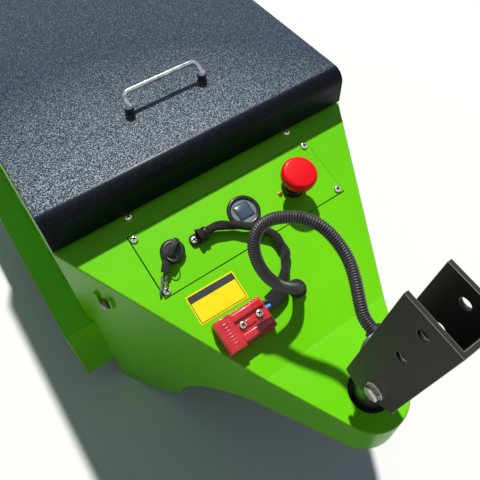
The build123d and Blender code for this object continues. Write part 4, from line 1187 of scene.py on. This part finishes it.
def makeSmallParts():
    sizes = hingeScrewSizes
    for name, body, height, size in sizes["rows"]:
        spots = [(Vector((x, sizes["back"], height)) * mm, (0.0, 1.0, 0.0), size) for x in sizes["columns"]]
        addScrews(name, spots, 17, body)
    sizes = weldSizes
    dice = random.Random(4)
    count = round(sizes["length"] / sizes["pitch"])
    beads = []
    for step in range(count):
        shift = (step - (count - 1) / 2) * sizes["pitch"]
        for side in (-1, 1):
            beads += [(side * sizes["side"], row + shift, (side * 0.7, 0.0, 0.7)) for row in sizes["rows"]]
        beads += [(column + shift, sizes["back"], (0.0, 0.7, 0.7)) for column in sizes["columns"]]
    spots = [(Vector((x, y, sizes["frameTop"])) * mm, aim, dice.uniform(0.9, 1.12)) for x, y, aim in beads]
    addScrews("boxWelds", spots, 9, "body", "ripple", "greenEdge")


makeSmallParts()

pivotSizes = {
    "centre": (0.0, -486.0, 269.6),
    "face": 22.0,  # outer face of the tiller foot's plates
    "shaft": 5.0,
    "washer": (9.0, 1.6),
    "across": 13.0,  # flats of the head and the nut
    "headHeight": 5.6,
    "nutHeight": 6.8,
    "tail": 32.5,
}


def makePivotBolt():  # bolt through both plates, with washers and a lock nut
    sizes = pivotSizes
    face, shaft, end = sizes["face"], sizes["shaft"], sizes["tail"]
    radius, thick = sizes["washer"]
    centre = shifted(Matrix(), *sizes["centre"])
    corner = sizes["across"] / 2 / math.cos(math.radians(30))
    hexagon = [onArc(corner, 60 * step) for step in range(6)]
    outer = face + thick
    washer = [(0, face - 0.2), (radius, face - 0.2), (radius, outer - 0.3), (radius - 0.3, outer), (0, outer)]
    shapes = []
    for angle, tall in ((-90, sizes["headHeight"]), (90, sizes["nutHeight"])):
        seat = turned(centre, angle, "Y")
        shapes.append((addLathe, washer, seat, 40))
        shapes.append((addPrism, hexagon, outer, outer + tall, turned(seat, 12), 0.7, 3))
    shapes.append((addLathe, [(0, -face), (shaft, -face), (shaft, end - 1), (shaft - 1, end), (0, end)], seat, 32))
    buildPiece("pivotBolt", "zinc", shapes, ("pivot_bolt",), 32, "foot")


makePivotBolt()
print("batteries and small parts ready")


# floor, light and background

studio = {
    "floor": -0.0600,
    "floorReach": 6,
    "sun": (0.217, 0.469, 0.856),
    "sunPower": 3.8,
    "sunSoftness": 2.0,
    "sky": "#C8DAF2",
    "skyPower": 0.17,
    "floorColour": "#F0EDE9",
    "groundColour": "#8C8474",  # what the floor throws back on the sides
}


def makeStudio():
    reach, level = studio["floorReach"], studio["floor"]
    corners = [(x * reach, y * reach, level) for x, y in ((-1, -1), (1, -1), (1, 1), (-1, 1))]
    mesh = bpy.data.meshes.new("floor")
    mesh.from_pydata(corners, [], [(0, 1, 2, 3)])
    floor = addObject("floor", mesh)
    material = bpy.data.materials.new("paleFloor")  # white to the eye, darker in the light that it throws back
    material.use_nodes = True
    tree = material.node_tree
    ray = addNode(tree, "LightPath").outputs["Is Diffuse Ray"]
    colours = {6: hexColour(studio["floorColour"]), 7: hexColour(studio["groundColour"])}
    bounce = addNode(tree, "Mix", {"data_type": "RGBA", **colours}, {0: ray})
    setNode(tree, tree.nodes["Principled BSDF"], {"Roughness": 0.9}, {"Base Color": bounce.outputs[2]})
    mesh.materials.append(material)
    data = bpy.data.lights.new("keyLight", "SUN")
    data.energy = studio["sunPower"]
    data.angle = math.radians(studio["sunSoftness"])
    addObject("keyLight", data).rotation_euler = Vector(studio["sun"]).to_track_quat("Z", "Y").to_euler()
    world = bpy.data.worlds.new("studio")
    bpy.context.scene.world = world
    world.use_nodes = True
    tree = world.node_tree
    sky = tree.nodes["Background"]
    setNode(tree, sky, {"Color": hexColour(studio["sky"]), "Strength": studio["skyPower"]}, {})
    rays = addNode(tree, "LightPath").outputs
    shiny = addNode(tree, "Math", {"operation": "MAXIMUM"}, {0: rays["Is Glossy Ray"], 1: rays["Is Transmission Ray"]})
    seen = addNode(tree, "Math", {"operation": "MAXIMUM"}, {0: shiny, 1: rays["Is Camera Ray"]})
    white = addNode(tree, "Background", {"Color": (1.0, 1.0, 1.0, 1.0), "Strength": 1.0})
    mixed = addNode(tree, "MixShader", {}, {0: seen, 1: sky, 2: white})
    setNode(tree, tree.nodes["World Output"], {}, {"Surface": mixed})
    bpy.context.scene.view_settings.view_transform = "Standard"


makeStudio()

for head in heads.values():
    bpy.data.objects.remove(head)
for node in nodes.values():  # the CAD parts under the copies
    node.data.materials.clear()
    node.data.materials.append(finishes["chassisPaint"])
